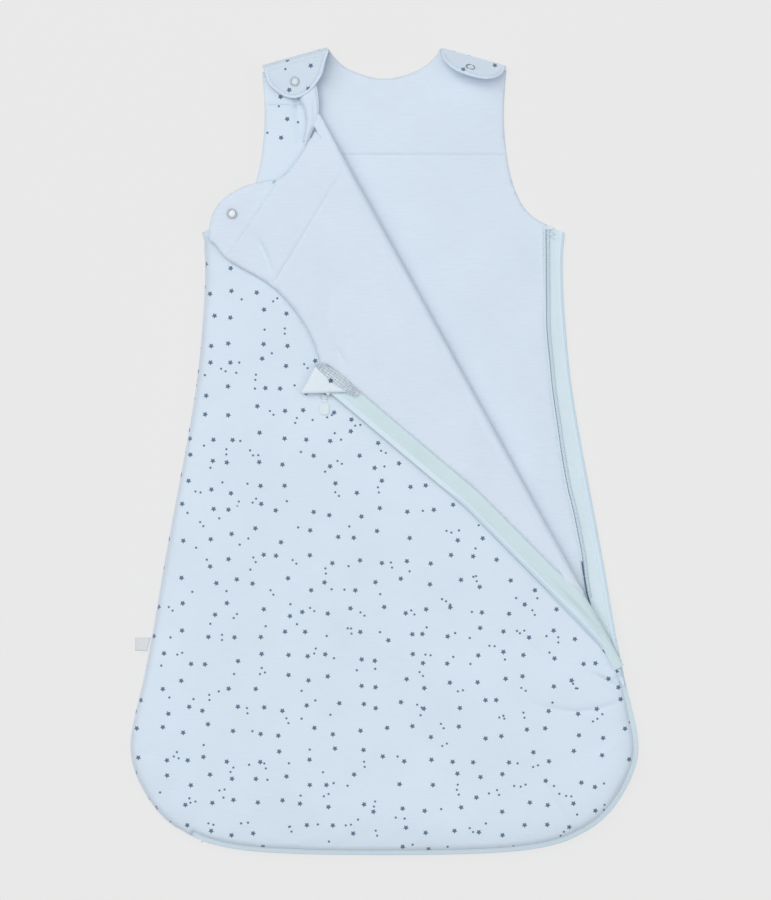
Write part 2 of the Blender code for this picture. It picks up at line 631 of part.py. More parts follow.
def shoulder_fold(name, shoulder, fold, profile):
    """The cloth that carries on from the back over the shoulder into the tab: a bent strip."""
    start, end = (Vector(p).to_3d() for p in shortened(inset(shoulder, fold), *SHOULDER_CLEAR))
    along = (end - start).normalized()
    outward = Vector((-along.y, along.x, 0))
    edges = [[start + outward * v + Vector((0, 0, z)) for v, z in profile] for start in (start, end)]
    ribbon(name, edges[0], edges[1], SHOULDER_CLOTH, SHELL)


def shoulders():
    """Both back tabs on their hinges. The left one is snapped down, the right one stands up."""
    left_line, right_line = inset(mirrored(SHOULDER), LEFT_FOLD), inset(SHOULDER, RIGHT_FOLD)
    left_middle = (Vector(left_line[0]) + Vector(left_line[1])) / 2
    right_middle = (Vector(right_line[0]) + Vector(right_line[1])) / 2
    left = hinge("left_back_tab_hinge", (*left_middle, LEFT_HINGE_Z))
    right = hinge("right_back_tab_hinge", (*right_middle, RIGHT_HINGE_Z))
    lining_bottom = FRONT_TOP + TAB_GAP
    shoulder_tab("left", smooth(TAB), mirrored(SHOULDER), LEFT_FOLD, LEFT_SNAP, lining_bottom, left)
    right_snap = Vector((-LEFT_SNAP.x, LEFT_SNAP.y)) + Vector(RIGHT_SNAP_OFFSET)
    lining_bottom = RIGHT_HINGE_Z + RIGHT_TAB_LIFT
    shoulder_tab("right", mirrored(smooth(TAB)), SHOULDER, RIGHT_FOLD, right_snap, lining_bottom, right)
    along = (Vector(SHOULDER[1]) - Vector(SHOULDER[0])).to_3d()
    right.rotation_mode = "QUATERNION"
    right.rotation_quaternion = Quaternion(along, -RIGHT_TAB_TILT)
    high = FRONT_TOP + TAB_GAP + FABRIC
    low, rise = BACK_TOP / 2, high - BACK_TOP / 2
    bulge = np.linspace(0.0, math.pi, 11)
    near, wide = 3 * GAP, LEFT_FOLD - SHOULDER_CLOTH / 2 - 3 * GAP
    profile = [
        (near + wide * abs(math.sin(a)) ** SHOULDER_FULLNESS, low + rise * (1 - math.cos(a)) / 2)
        for a in bulge
    ]
    shoulder_fold("left_shoulder_fold", mirrored(SHOULDER), LEFT_FOLD, profile)
    radius = RIGHT_FOLD - SHOULDER_CLOTH / 2
    profile = [(radius * math.cos(a), RIGHT_HINGE_Z + radius * math.sin(a)) for a in RIGHT_BEND]
    shoulder_fold("right_shoulder_fold", SHOULDER, RIGHT_FOLD, profile)


def main():
    back_panel()
    front_panel()
    side_seam_and_label()
    zip_on_the_back()
    zip_round_the_foot()
    snap_stud("left", LEFT_SNAP, FRONT_TOP, True, FRONT_BOTTOM)
    fold_middle = (Vector(FOLD_LINE[0]) + Vector(FOLD_LINE[1])) / 2
    flap_hinge = hinge("front_flap_hinge", (*fold_middle, FOLD_Z))
    flap(flap_hinge)
    zip_on_the_flap(flap_hinge)
    snap_stud("right", FLAP_SNAP, FLAP_BOTTOM, False, FLAP_TOP, flap_hinge)
    zip_slider(hinge("slider_start", (*slider_start(), FLAP_MIDDLE)))
    zip_pull(hinge("pull_hinge", PULL_HINGE))
    shoulders()


main()
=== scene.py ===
"""Looks of a padded baby sleeping bag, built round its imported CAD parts. Metres, +Z up, +Y to the head."""

import json
import math

import bpy
import numpy as np
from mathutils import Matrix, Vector, bvhtree, geometry, noise


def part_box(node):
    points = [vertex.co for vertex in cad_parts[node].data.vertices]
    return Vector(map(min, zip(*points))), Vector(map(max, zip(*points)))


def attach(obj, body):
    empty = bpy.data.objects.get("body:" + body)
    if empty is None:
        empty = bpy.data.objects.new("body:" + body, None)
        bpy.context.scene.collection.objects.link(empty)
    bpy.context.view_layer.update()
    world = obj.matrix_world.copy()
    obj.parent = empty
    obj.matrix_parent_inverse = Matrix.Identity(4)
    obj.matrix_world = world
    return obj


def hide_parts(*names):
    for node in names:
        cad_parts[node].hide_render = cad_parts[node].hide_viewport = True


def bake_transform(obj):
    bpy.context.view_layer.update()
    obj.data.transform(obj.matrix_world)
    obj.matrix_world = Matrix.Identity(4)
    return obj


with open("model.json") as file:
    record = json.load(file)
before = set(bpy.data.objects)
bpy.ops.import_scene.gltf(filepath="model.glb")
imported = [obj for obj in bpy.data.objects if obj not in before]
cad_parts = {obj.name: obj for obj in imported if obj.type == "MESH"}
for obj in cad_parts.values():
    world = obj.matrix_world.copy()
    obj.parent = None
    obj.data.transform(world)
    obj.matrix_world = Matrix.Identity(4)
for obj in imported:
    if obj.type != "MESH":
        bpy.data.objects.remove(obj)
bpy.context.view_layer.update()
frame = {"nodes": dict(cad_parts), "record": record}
NODES = frame["nodes"]

FRONT_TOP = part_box("front_outer_shell")[1].z
FRONT_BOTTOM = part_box("front_lining")[0].z
FLAP_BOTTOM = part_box("flap_outer_shell")[0].z
FLAP_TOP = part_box("flap_lining")[1].z
BACK_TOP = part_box("back_lining")[1].z
FLAP_MIDDLE = (FLAP_BOTTOM + FLAP_TOP) / 2
FRONT_MIDDLE = (FRONT_BOTTOM + FRONT_TOP) / 2
BACK_MIDDLE = BACK_TOP / 2
SEAM_Z = (BACK_TOP + FRONT_BOTTOM) / 2
FOLD_Z = (FLAP_TOP + FRONT_BOTTOM) / 2
FOLD_R = (FLAP_TOP - FRONT_BOTTOM) / 2
STITCH, STITCH_RADIUS = (0.0020, 0.0007), 0.00016
BACK_LOFT = 0.0055  # how much more the padding of the back stands up than the pressed CAD wadding


# ---- lines --------------------------------------------------------------------------------------
def metres(points):
    return np.array(points, float) / 1000


def smooth(points, steps=8):
    """A smooth line through the points."""
    points = np.asarray(points, float)
    padded = np.vstack([points[:1], points, points[-1:]])
    line = [points[0]]
    for a, b, c, d in zip(padded, padded[1:], padded[2:], padded[3:]):
        for t in np.linspace(0, 1, steps + 1)[1:]:
            line.append(b + 0.5 * t * (c - a + t * (2 * a - 5 * b + 4 * c - d + t * (3 * (b - c) + d - a))))
    return np.array(line)


def travelled(line):
    return np.append(0, np.cumsum(np.linalg.norm(np.diff(line, axis=0), axis=1)))


def evenly(line, step):
    """The line with points this far apart."""
    line = np.asarray(line, float)
    reach = travelled(line)
    places = np.linspace(0, reach[-1], max(2, round(reach[-1] / step) + 1))
    return np.stack([np.interp(places, reach, line[:, i]) for i in range(line.shape[1])], axis=1)


def shortened(line, start, end=0.0):
    """The line without its first and last stretches, of these lengths."""
    line = np.asarray(line, float)
    reach = travelled(line)
    inside = reach[(reach > start) & (reach < reach[-1] - end)]
    places = np.concatenate([[start], inside, [reach[-1] - end]])
    return np.stack([np.interp(places, reach, line[:, i]) for i in range(line.shape[1])], axis=1)


def rights(line, closed=False):
    """The direction to the right of travel at each point, in plan."""
    flat = np.asarray(line, float)[:, :2]
    if closed:
        along = np.roll(flat, -1, axis=0) - np.roll(flat, 1, axis=0)
    else:
        along = np.gradient(flat, axis=0)
    along /= np.linalg.norm(along, axis=1)[:, None] + 1e-12
    return np.stack([along[:, 1], -along[:, 0]], axis=1)


def inset(line, distance):
    """The line moved to its right-hand side."""
    moved = np.array(line, float)
    moved[:, :2] += rights(line) * np.broadcast_to(distance, len(moved))[:, None]
    return moved


def outline_of(node):
    """The outline of a flat CAD piece from above, clockwise."""
    mesh = NODES[node].data
    after = {}
    for face in mesh.polygons:
        if face.normal.z > 0.9:
            keys = [tuple(round(c, 6) for c in mesh.vertices[i].co[:2]) for i in face.vertices]
            for a, b in zip(keys, keys[1:] + keys[:1]):
                if after.get(b) and a in after[b]:
                    after[b].remove(a)
                else:
                    after.setdefault(a, []).append(b)
    start = next(a for a in after if after[a])
    loop = [start]
    while after[loop[-1]][0] != start:
        loop.append(after[loop[-1]][0])
    loop = np.array(loop)
    x, y = loop.T
    area = (x * np.roll(y, -1) - y * np.roll(x, -1)).sum()
    return loop[::-1] if area > 0 else loop


def sides_of(node, loop):
    """The two long sides of a flat CAD band along a loop: the one away from the loop, then the one on it."""
    band = outline_of(node)
    count = len(band)
    best = None
    for k in range(count):
        one = band[(k + np.arange(count // 2)) % count]
        other = band[(k - 1 - np.arange(count // 2)) % count]
        unevenness = np.linalg.norm(one - other, axis=1).std()
        if best is None or unevenness < best[0]:
            best = (unevenness, one, other)
    one, other = best[1:]
    return (one, other) if near(one, loop)[0].mean() > near(other, loop)[0].mean() else (other, one)


def corners_of(loop, turn=math.radians(24)):
    """Which points of a closed loop are corners."""
    before = loop - np.roll(loop, 1, axis=0)
    after = np.roll(loop, -1, axis=0) - loop
    angle = np.arctan2(before[:, 0] * after[:, 1] - before[:, 1] * after[:, 0], (before * after).sum(axis=1))
    return np.abs(angle) > turn


def rounded(loop, step=0.004, passes=4):
    """A closed loop with close points, smoothed between its corners."""
    loop = loop[np.linalg.norm(loop - np.roll(loop, -1, axis=0), axis=1) > 0.0004]
    corner = corners_of(loop)
    points, fixed = [], []
    for i in range(len(loop)):
        a, b = loop[i], loop[(i + 1) % len(loop)]
        pieces = max(1, round(float(np.linalg.norm(b - a)) / step))
        for j in range(pieces):
            points.append(a + (b - a) * j / pieces)
            fixed.append(bool(corner[i]) if j == 0 else False)
    points, fixed = np.array(points), np.array(fixed)
    for _ in range(passes):
        middle = (np.roll(points, 1, axis=0) + np.roll(points, -1, axis=0)) / 2
        points = np.where(fixed[:, None], points, (points + middle) / 2)
    return points


def widened(loop, node, gap=0.0004, walk=0.024):
    """The loop moved out to the outer side of a CAD band that lies along it, as far as the next corner."""
    outer, inner = sides_of(node, loop)
    far, place = near(loop, inner, closed=False)
    i = np.clip(np.floor(place).astype(int), 0, len(inner) - 2)
    t = (place - i)[:, None]
    vector = (outer[i] - inner[i]) * (1 - t) + (outer[i + 1] - inner[i + 1]) * t
    vector *= 1 + 0.0003 / 0.004 - gap / 0.004
    flagged = far < 0.0009
    corner = corners_of(loop)
    moved = np.where(flagged[:, None], vector, 0.0)
    count = len(loop)
    for step in (1, -1):
        for start in [k for k in range(count) if flagged[k] and not flagged[(k + step) % count]]:
            k, gone = start, 0.0
            while not (corner[k] and k != start):
                gone += float(np.linalg.norm(loop[(k + step) % count] - loop[k]))
                k = (k + step) % count
                if gone > walk or flagged[k]:
                    break
                moved[k] = vector[start]
    return loop + moved


def snapped(loop, line, reach=0.0016):
    """The loop with its points near a straight line moved onto the line."""
    direction = (line[1] - line[0]) / np.linalg.norm(line[1] - line[0])
    on = line[0] + ((loop - line[0]) @ direction)[:, None] * direction
    close = near(loop, line, closed=False)[0] < reach
    return np.where(close[:, None], on, loop)


def united(loop, other, reach=0.0012):
    """One clockwise loop round two that share a seam."""
    runs = []
    for one, two in ((loop, other), (other, loop)):
        apart = near(one, two)[0] > reach
        first = next(k for k in range(len(one)) if apart[k] and not apart[k - 1])
        order = (first + np.arange(len(one))) % len(one)
        runs.append(one[order][apart[order]])
    return np.vstack(runs)


def eased(t):
    t = np.clip(t, 0, 1)
    return t * t * (3 - 2 * t)


def near(points, loop, closed=True):
    """For each point, how far the line is and where on it: (distance, index as a fraction)."""
    ends = np.roll(loop, -1, axis=0) if closed else loop[1:]
    starts = loop if closed else loop[:-1]
    span = ends - starts
    size = (span**2).sum(axis=1) + 1e-18
    best = np.full(len(points), 1e9)
    place = np.zeros(len(points))
    for i in range(len(starts)):
        t = np.clip(((points - starts[i]) @ span[i]) / size[i], 0, 1)
        gap = np.linalg.norm(points - (starts[i] + t[:, None] * span[i]), axis=1)
        better = gap < best
        best[better] = gap[better]
        place[better] = i + t[better]
    return best, place


def inside(points, loop):
    """Which points are inside the closed loop."""
    found = np.zeros(len(points), bool)
    for a, b in zip(loop, np.roll(loop, -1, axis=0)):
        crosses = (a[1] > points[:, 1]) != (b[1] > points[:, 1])
        at = a[0] + (points[:, 1] - a[1]) / (b[1] - a[1] + 1e-18) * (b[0] - a[0])
        found ^= crosses & (points[:, 0] < at)
    return found


def waves(points, size, seed):
    """A smooth random field from -1 to 1 whose bumps are about this far apart."""
    return np.array([noise.noise(Vector((x / size, y / size, seed))) for x, y in points])


# ---- materials ----------------------------------------------------------------------------------
def linear(red, green, blue):
    """An sRGB colour of 0 to 255 as a linear one."""
    values = [c / 255 for c in (red, green, blue)]
    return tuple(c / 12.92 if c <= 0.04045 else ((c + 0.055) / 1.055) ** 2.4 for c in values)


class Finish:
    """A material whose nodes are added one by one."""

    def __init__(self, name, roughness=0.9, metallic=0.0, sheen=0.0, coat=0.0):
        self.material = bpy.data.materials.new(name)
        self.material.use_nodes = True
        self.tree = self.material.node_tree
        self.shader = self.tree.nodes["Principled BSDF"]
        self.shader.inputs["Roughness"].default_value = roughness
        self.shader.inputs["Metallic"].default_value = metallic
        self.shader.inputs["Sheen Weight"].default_value = sheen
        self.shader.inputs["Sheen Roughness"].default_value = 0.5
        self.shader.inputs["Coat Weight"].default_value = coat

    def node(self, kind, values=(), **settings):
        made = self.tree.nodes.new(kind)
        for key, value in settings.items():
            setattr(made, key, value)
        for key, value in dict(values).items():
            if isinstance(value, bpy.types.NodeSocket):
                self.tree.links.new(value, made.inputs[key])
            else:
                made.inputs[key].default_value = value
        return made

    def calc(self, operation, *values):
        return self.node("ShaderNodeMath", enumerate(values), operation=operation).outputs[0]

    def place(self, scale=(1, 1, 1), turn=0.0, shift=(0, 0, 0)):
        """The cloth's own coordinates, in metres, scaled and turned."""
        cloth = self.node("ShaderNodeUVMap", uv_map="cloth")
        values = {"Vector": cloth.outputs[0], "Scale": scale, "Rotation": (0, 0, turn), "Location": shift}
        return self.node("ShaderNodeMapping", values).outputs[0]

    def solid(self, scale):
        """Places in the piece itself, for pieces with no cloth coordinates."""
        place = self.node("ShaderNodeTexCoord")
        return self.node("ShaderNodeMapping", {"Vector": place.outputs["Object"], "Scale": (scale,) * 3}).outputs[0]

    def cloud(self, vector, scale=1.0, detail=2.0):
        values = {"Vector": vector, "Scale": scale, "Detail": detail}
        return self.node("ShaderNodeTexNoise", values).outputs["Fac"]

    def ramp(self, value, low, high, from_low=0.3, from_high=0.7):
        values = {"Value": value, "From Min": from_low, "From Max": from_high, "To Min": low, "To Max": high}
        return self.node("ShaderNodeMapRange", values).outputs[0]

    def mix(self, share, one, other, blend="MIX"):
        made = self.node("ShaderNodeMix", data_type="RGBA", blend_type=blend)
        for key, value in ((0, share), (6, one), (7, other)):
            if isinstance(value, bpy.types.NodeSocket):
                self.tree.links.new(value, made.inputs[key])
            elif key == 0:
                made.inputs[0].default_value = value
            else:
                made.inputs[key].default_value = (*value, 1)
        return made.outputs[2]

    def colour(self, socket):
        self.tree.links.new(socket, self.shader.inputs["Base Color"])

    def rough(self, socket):
        self.tree.links.new(socket, self.shader.inputs["Roughness"])

    def bump(self, height, distance, strength=1.0):
        values = {"Height": height, "Distance": distance, "Strength": strength}
        made = self.node("ShaderNodeBump", values)
        self.tree.links.new(made.outputs[0], self.shader.inputs["Normal"])


def spots(finish, spacing, radius, points, seed, kept, evenness=0.6, clear=None, pair=0.0):
    """1 inside a scatter of small stars, or of dots where points is 0.

    clear is (spacing, seed, evenness, distance) of another scatter to keep away from; pair puts a second dot
    this far from each.
    """
    place = finish.place(shift=(seed * 0.37, seed * 0.61, 0))
    values = {"Vector": place, "Scale": 1 / spacing, "Randomness": 1 - evenness * 0.5}
    cells = finish.node("ShaderNodeTexVoronoi", values, voronoi_dimensions="2D")
    values = {0: place, 1: cells.outputs["Position"]}
    away = finish.node("ShaderNodeVectorMath", values, operation="SUBTRACT").outputs[0]
    far = finish.node("ShaderNodeVectorMath", {0: away}, operation="LENGTH").outputs["Value"]
    chance = finish.node("ShaderNodeSeparateColor", {0: cells.outputs["Color"]})
    edge = radius
    if points:
        parts = finish.node("ShaderNodeSeparateXYZ", {0: away})
        angle = finish.calc("ARCTAN2", parts.outputs[1], parts.outputs[0])
        turned = finish.calc("ADD", angle, finish.calc("MULTIPLY_ADD", chance.outputs[0], 0.5, 1.3))
        half = math.pi / points
        folded = finish.calc("PINGPONG", turned, half)
        notch = radius * 0.56
        across = notch * math.sin(half)
        lower = finish.calc("MULTIPLY", finish.calc("COSINE", folded), across)
        upper = finish.calc("MULTIPLY", finish.calc("SINE", folded), radius - notch * math.cos(half))
        edge = finish.calc("DIVIDE", radius * across, finish.calc("ADD", lower, upper))
    depth = finish.calc("SUBTRACT", edge, far)
    if pair:
        turn = finish.calc("MULTIPLY", chance.outputs[2], 2 * math.pi)
        step = finish.node("ShaderNodeCombineXYZ", {
            0: finish.calc("MULTIPLY", finish.calc("COSINE", turn), pair),
            1: finish.calc("MULTIPLY", finish.calc("SINE", turn), pair),
        }).outputs[0]
        beside = finish.node("ShaderNodeVectorMath", {0: away, 1: step}, operation="SUBTRACT").outputs[0]
        beside = finish.node("ShaderNodeVectorMath", {0: beside}, operation="LENGTH").outputs["Value"]
        depth = finish.calc("MAXIMUM", depth, finish.calc("SUBTRACT", radius, beside))
    mask = finish.ramp(depth, 0.0, 1.0, -0.00012, 0.00018)
    present = finish.calc("LESS_THAN", chance.outputs[1], kept)
    if clear:
        other_spacing, other_seed, other_evenness, distance = clear
        move = ((other_seed - seed) * 0.37, (other_seed - seed) * 0.61, 0)
        values = {0: cells.outputs["Position"], 1: move}
        there = finish.node("ShaderNodeVectorMath", values, operation="ADD").outputs[0]
        values = {"Vector": there, "Scale": 1 / other_spacing, "Randomness": 1 - other_evenness * 0.5}
        others = finish.node("ShaderNodeTexVoronoi", values, voronoi_dimensions="2D").outputs["Distance"]
        present = finish.calc("MULTIPLY", present, finish.calc("GREATER_THAN", others, distance / other_spacing))
    return finish.calc("MULTIPLY", mask, present)


def jersey(name, colour, printed=False, ribbed=False):
    """Fine cotton jersey: faint rows of knit, a soft nap, slight changes of tone."""
    made = Finish(name, roughness=0.92, sheen=0.25)
    wide = made.cloud(made.place((14, 14, 1)), detail=3.0)
    rows = made.cloud(made.place((70, 620, 1)), detail=2.0)
    fine = made.cloud(made.place((1500, 1500, 1)), detail=1.0)
    light = made.mix(made.ramp(wide, 0.0, 1.0), [c * 0.975 for c in colour], [c * 1.015 for c in colour])
    light = made.mix(made.ramp(rows, 0.0, 0.10 if printed else 0.16), light, [c * 0.80 for c in colour])
    light = made.mix(made.ramp(fine, 0.0, 0.05), light, [c * 0.70 for c in colour])
    if printed:
        ink = linear(76, 107, 136)
        stars = spots(made, STAR_STEP, 0.00258, 5, 1.0, 0.97, STAR_EVENNESS)
        apart = (STAR_STEP, 1.0, STAR_EVENNESS, 0.0062)
        dots = spots(made, 0.0270, 0.00105, 0, 2.0, 0.9, 0.3, apart)
        dots = made.calc("MAXIMUM", dots, spots(made, 0.0330, 0.00100, 0, 3.0, 0.9, 0.2, apart, 0.0045))
        mask = made.calc("MAXIMUM", stars, dots)
        light = made.mix(made.calc("MULTIPLY", mask, 0.95), light, ink)
    made.colour(light)
    made.rough(made.ramp(fine, 0.86, 0.96))
    height = made.calc("ADD", rows, made.calc("MULTIPLY", fine, 0.8))
    if ribbed:
        ribs = made.node("ShaderNodeTexWave", {"Vector": made.place((1, 1, 1)), "Scale": 260.0}, bands_direction="X")
        height = made.calc("ADD", height, ribs.outputs["Fac"])
    made.bump(height, 0.00022, 0.55)
    return made.material


def woven(name, colour):
    """Zip tape: a fine twill."""
    made = Finish(name, roughness=0.75, sheen=0.15)
    twill = made.node(
        "ShaderNodeTexWave", {"Vector": made.place(turn=math.radians(38)), "Scale": 210.0, "Distortion": 0.6},
    ).outputs["Fac"]
    wide = made.cloud(made.place((26, 40, 1)), detail=3.0)
    light = made.mix(made.ramp(wide, 0.0, 1.0), [c * 0.97 for c in colour], [c * 1.02 for c in colour])
    made.colour(made.mix(made.ramp(twill, 0.0, 0.16, 0.0, 1.0), light, [c * 0.86 for c in colour]))
    made.rough(made.ramp(wide, 0.70, 0.80))
    made.bump(twill, 0.00018, 0.6)
    return made.material


def grained(name, colour, roughness, grain=900, detail=3.0, variation=0.04, rough=None, bump=(0.00004, 0.4), **more):
    """Plastic, metal or thread with a fine grain."""
    made = Finish(name, roughness=roughness, **more)
    cloud = made.cloud(made.solid(grain), detail=detail)
    made.colour(made.mix(made.ramp(cloud, 0.0, 1.0), [c * (1 - variation) for c in colour], colour))
    made.rough(made.ramp(cloud, *(rough or (roughness - 0.06, roughness + 0.10))))
    if bump:
        made.bump(cloud, *bump)
    return made.material


def yarn(name, colour):
    """Sewing thread."""
    return grained(name, colour, 0.7, 3000, 2.0, 0.16, (0.62, 0.8), None, sheen=0.1)


STAR_STEP, STAR_EVENNESS = 0.0212, 0.75
PRINTED = jersey("printed_jersey", linear(217, 230, 243), printed=True)
# Painted shade: a darker copy of the printed jersey for the left shoulder tab and its strip, standing in for the shade
# they lie in.
PAINTED_SHADE_PRINT = jersey("printed_jersey_painted_shade", linear(210, 223, 236), printed=True)
LINING = jersey("lining_jersey", linear(217, 229, 242))
BOUND = jersey("binding_jersey", linear(219, 233, 248), ribbed=True)
GUARD = jersey("guard_jersey", linear(226, 237, 245))
LABEL = jersey("label_cloth", linear(217, 220, 224))
TWILL = woven("zip_tape_twill", linear(205, 225, 231))
# Painted light: a lighter copy of the zip tape twill for the back and foot halves of the zip, lifting the shade that
# falls on them.
TWILL_PAINTED_LIGHT = woven("zip_tape_twill_painted_light", linear(214, 230, 238))
TEETH = grained("zip_teeth_nylon", linear(211, 229, 240), 0.5)
MINT = grained("mint_plastic", linear(216, 230, 236), 0.5)
PALE_PLASTIC = grained("pale_plastic", linear(212, 224, 235), 0.45, variation=0.03)
WHITE = grained("white_plastic", linear(228, 235, 241), 0.4, variation=0.03)
METAL = grained("plated_metal", linear(150, 160, 168), 0.42, 2200, 4.0, 0.14, (0.36, 0.52), (0.00003, 0.5),
                metallic=1.0)
THREAD = yarn("pale_thread", linear(206, 220, 236))
SEAM_THREAD = yarn("seam_thread", linear(172, 192, 218))
# Dark thread, also used for dark bars that paint shade: the notch at the tip of the neck roll and the contact shadow
# along the back zip's seam.
DARK_THREAD_AND_SHADE = yarn("dark_thread_and_painted_shade", linear(142, 164, 190))
GREY_THREAD = yarn("grey_thread", linear(184, 200, 210))
WHITE_THREAD = yarn("white_thread", linear(226, 234, 242))
# The ink of the print, also used for thick dark bars that paint the shadow in the gap beside the back zip.
INK_AND_PAINTED_SHADE = yarn("printed_ink_and_painted_shade", linear(84, 112, 138))


# ---- meshes -------------------------------------------------------------------------------------
def mesh_piece(name, vertices, faces, materials, body=None, slots=None, cloth=None, sharp=None):
    """A mesh object that rides on a body."""
    mesh = bpy.data.meshes.new(name)
    mesh.from_pydata([tuple(map(float, v)) for v in vertices], [], faces)
    for surface in materials:
        mesh.materials.append(surface)
    if slots is not None:
        mesh.polygons.foreach_set("material_index", np.asarray(slots, np.int32))
    mesh.validate()
    mesh.shade_smooth()
    if sharp:
        mesh.set_sharp_from_angle(angle=math.radians(sharp))
    if cloth is not None:
        layer = mesh.uv_layers.new(name="cloth")
        corner = np.zeros(len(mesh.loops), np.int32)
        mesh.loops.foreach_get("vertex_index", corner)
        layer.data.foreach_set("uv", np.asarray(cloth, np.float32)[corner].ravel())
    made = bpy.data.objects.new(name, mesh)
    bpy.context.scene.collection.objects.link(made)
    if body:
        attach(made, body)
    return made


def swept(name, path, sections, surface, body, closed=True, sharp=50, shift=(0, 0), bands=None):
    """A cross-section of (inward, up) drawn along a path; inward is to the right of travel.

    bands gives the material slot of each side of the section.
    """
    path = np.asarray(path, float)
    sections = np.asarray(sections, float)
    if sections.ndim == 2:
        sections = np.broadcast_to(sections, (len(path), *sections.shape))
    side = rights(path)
    rows, count = len(path), sections.shape[1]
    vertices = np.repeat(path[:, None, :], count, axis=1)
    vertices[:, :, :2] += sections[:, :, :1] * side[:, None, :]
    vertices[:, :, 2] += sections[:, :, 1]
    faces, slots = [], []
    for i in range(rows - 1):
        for k in range(count if closed else count - 1):
            j = (k + 1) % count
            faces.append((i * count + k, (i + 1) * count + k, (i + 1) * count + j, i * count + j))
            slots.append(bands[k] if bands else 0)
    if closed:
        faces.append(tuple(range(count)))
        faces.append(tuple((rows - 1) * count + k for k in reversed(range(count))))
        slots += [0, 0]
    surface = surface if isinstance(surface, list) else [surface]
    reach = travelled(path)
    round_it = travelled(sections[0])
    cloth = np.stack(np.meshgrid(reach, round_it, indexing="ij"), axis=-1).reshape(-1, 2) + shift
    return mesh_piece(name, vertices.reshape(-1, 3), faces, surface, body, slots, cloth, sharp)


def threads(name, bars, radius, surface, body, flat=0.7, sides=5):
    """Many small round-ended bars, such as stitches or zip teeth, each from one point to another."""
    bars = np.asarray(bars, float)
    start, end = bars[:, 0], bars[:, 1]
    along = end - start
    length = np.linalg.norm(along, axis=1)[:, None] + 1e-9
    along = along / length
    across = np.cross(np.broadcast_to([0.0, 0.0, 1.0], along.shape), along)
    across /= np.linalg.norm(across, axis=1)[:, None] + 1e-9
    up = np.cross(along, across)
    turns = np.linspace(0, 2 * math.pi, sides, endpoint=False)
    stations = ((0.0, 0.4), (0.16, 1.0), (0.84, 1.0), (1.0, 0.4))
    rings = []
    for share, width in stations:
        middle = start + along * length * share
        for turn in turns:
            rings.append(middle + (across * math.cos(turn) + up * math.sin(turn) * flat) * radius * width)
    vertices = np.stack(rings, axis=1)
    each = vertices.shape[1]
    faces = []
    for row in range(len(stations) - 1):
        for k in range(sides):
            j = (k + 1) % sides
            faces.append((row * sides + k, row * sides + j, (row + 1) * sides + j, (row + 1) * sides + k))
    faces.append(tuple(reversed(range(sides))))
    faces.append(tuple((len(stations) - 1) * sides + k for k in range(sides)))
    every = [tuple(i * each + v for v in face) for i in range(len(bars)) for face in faces]
    return mesh_piece(name, vertices.reshape(-1, 3), every, [surface], body)


def running(path, stitch, gap):
    """Bars for a row of stitches along a path."""
    reach = travelled(path)
    starts = np.arange(gap / 2, reach[-1] - stitch, stitch + gap)
    at = [np.stack([np.interp(starts + s, reach, path[:, i]) for i in range(3)], axis=1) for s in (0, stitch)]
    return np.stack(at, axis=1)


def crossing_bars(path, pitch, near_side, far_side, slant=0.0):
    """Bars that lie across a path, from one distance to its right to another."""
    reach = travelled(path)
    places = np.arange(pitch / 2, reach[-1], pitch)
    middle = np.stack([np.interp(places, reach, path[:, i]) for i in range(3)], axis=1)
    side = rights(middle)
    along = np.stack([-side[:, 1], side[:, 0]], axis=1)
    one, other = middle.copy(), middle.copy()
    one[:, :2] += side * near_side - along * slant / 2
    other[:, :2] += side * far_side + along * slant / 2
    return np.stack([one, other], axis=1)


def at_height(line, z):
    line = np.asarray(line, float)
    return np.column_stack([line[:, :2], np.broadcast_to(z, len(line))])


class Surface:
    """Finds the height of a piece's upper side."""

    def __init__(self, *pieces):
        self.trees = []
        for piece in pieces:
            mesh = piece.data
            points = [v.co.copy() for v in mesh.vertices]
            self.trees.append(bvhtree.BVHTree.FromPolygons(points, [tuple(f.vertices) for f in mesh.polygons]))

    def on(self, line, lift=0.0, fallback=0.0):
        made = []
        for x, y in np.asarray(line)[:, :2]:
            hits = [t.ray_cast(Vector((x, y, 0.2)), Vector((0, 0, -1)))[0] for t in self.trees]
            heights = [h.z for h in hits if h]
            made.append((x, y, (max(heights) if heights else fallback) + lift))
        return np.array(made)


def hex_grid(low, high, step):
    rows = np.arange(low[1], high[1], step * math.sqrt(3) / 2)
    points = []
    for i, y in enumerate(rows):
        xs = np.arange(low[0] + (i % 2) * step / 2, high[0], step)
        points.append(np.column_stack([xs, np.full(len(xs), y)]))
    return np.vstack(points)


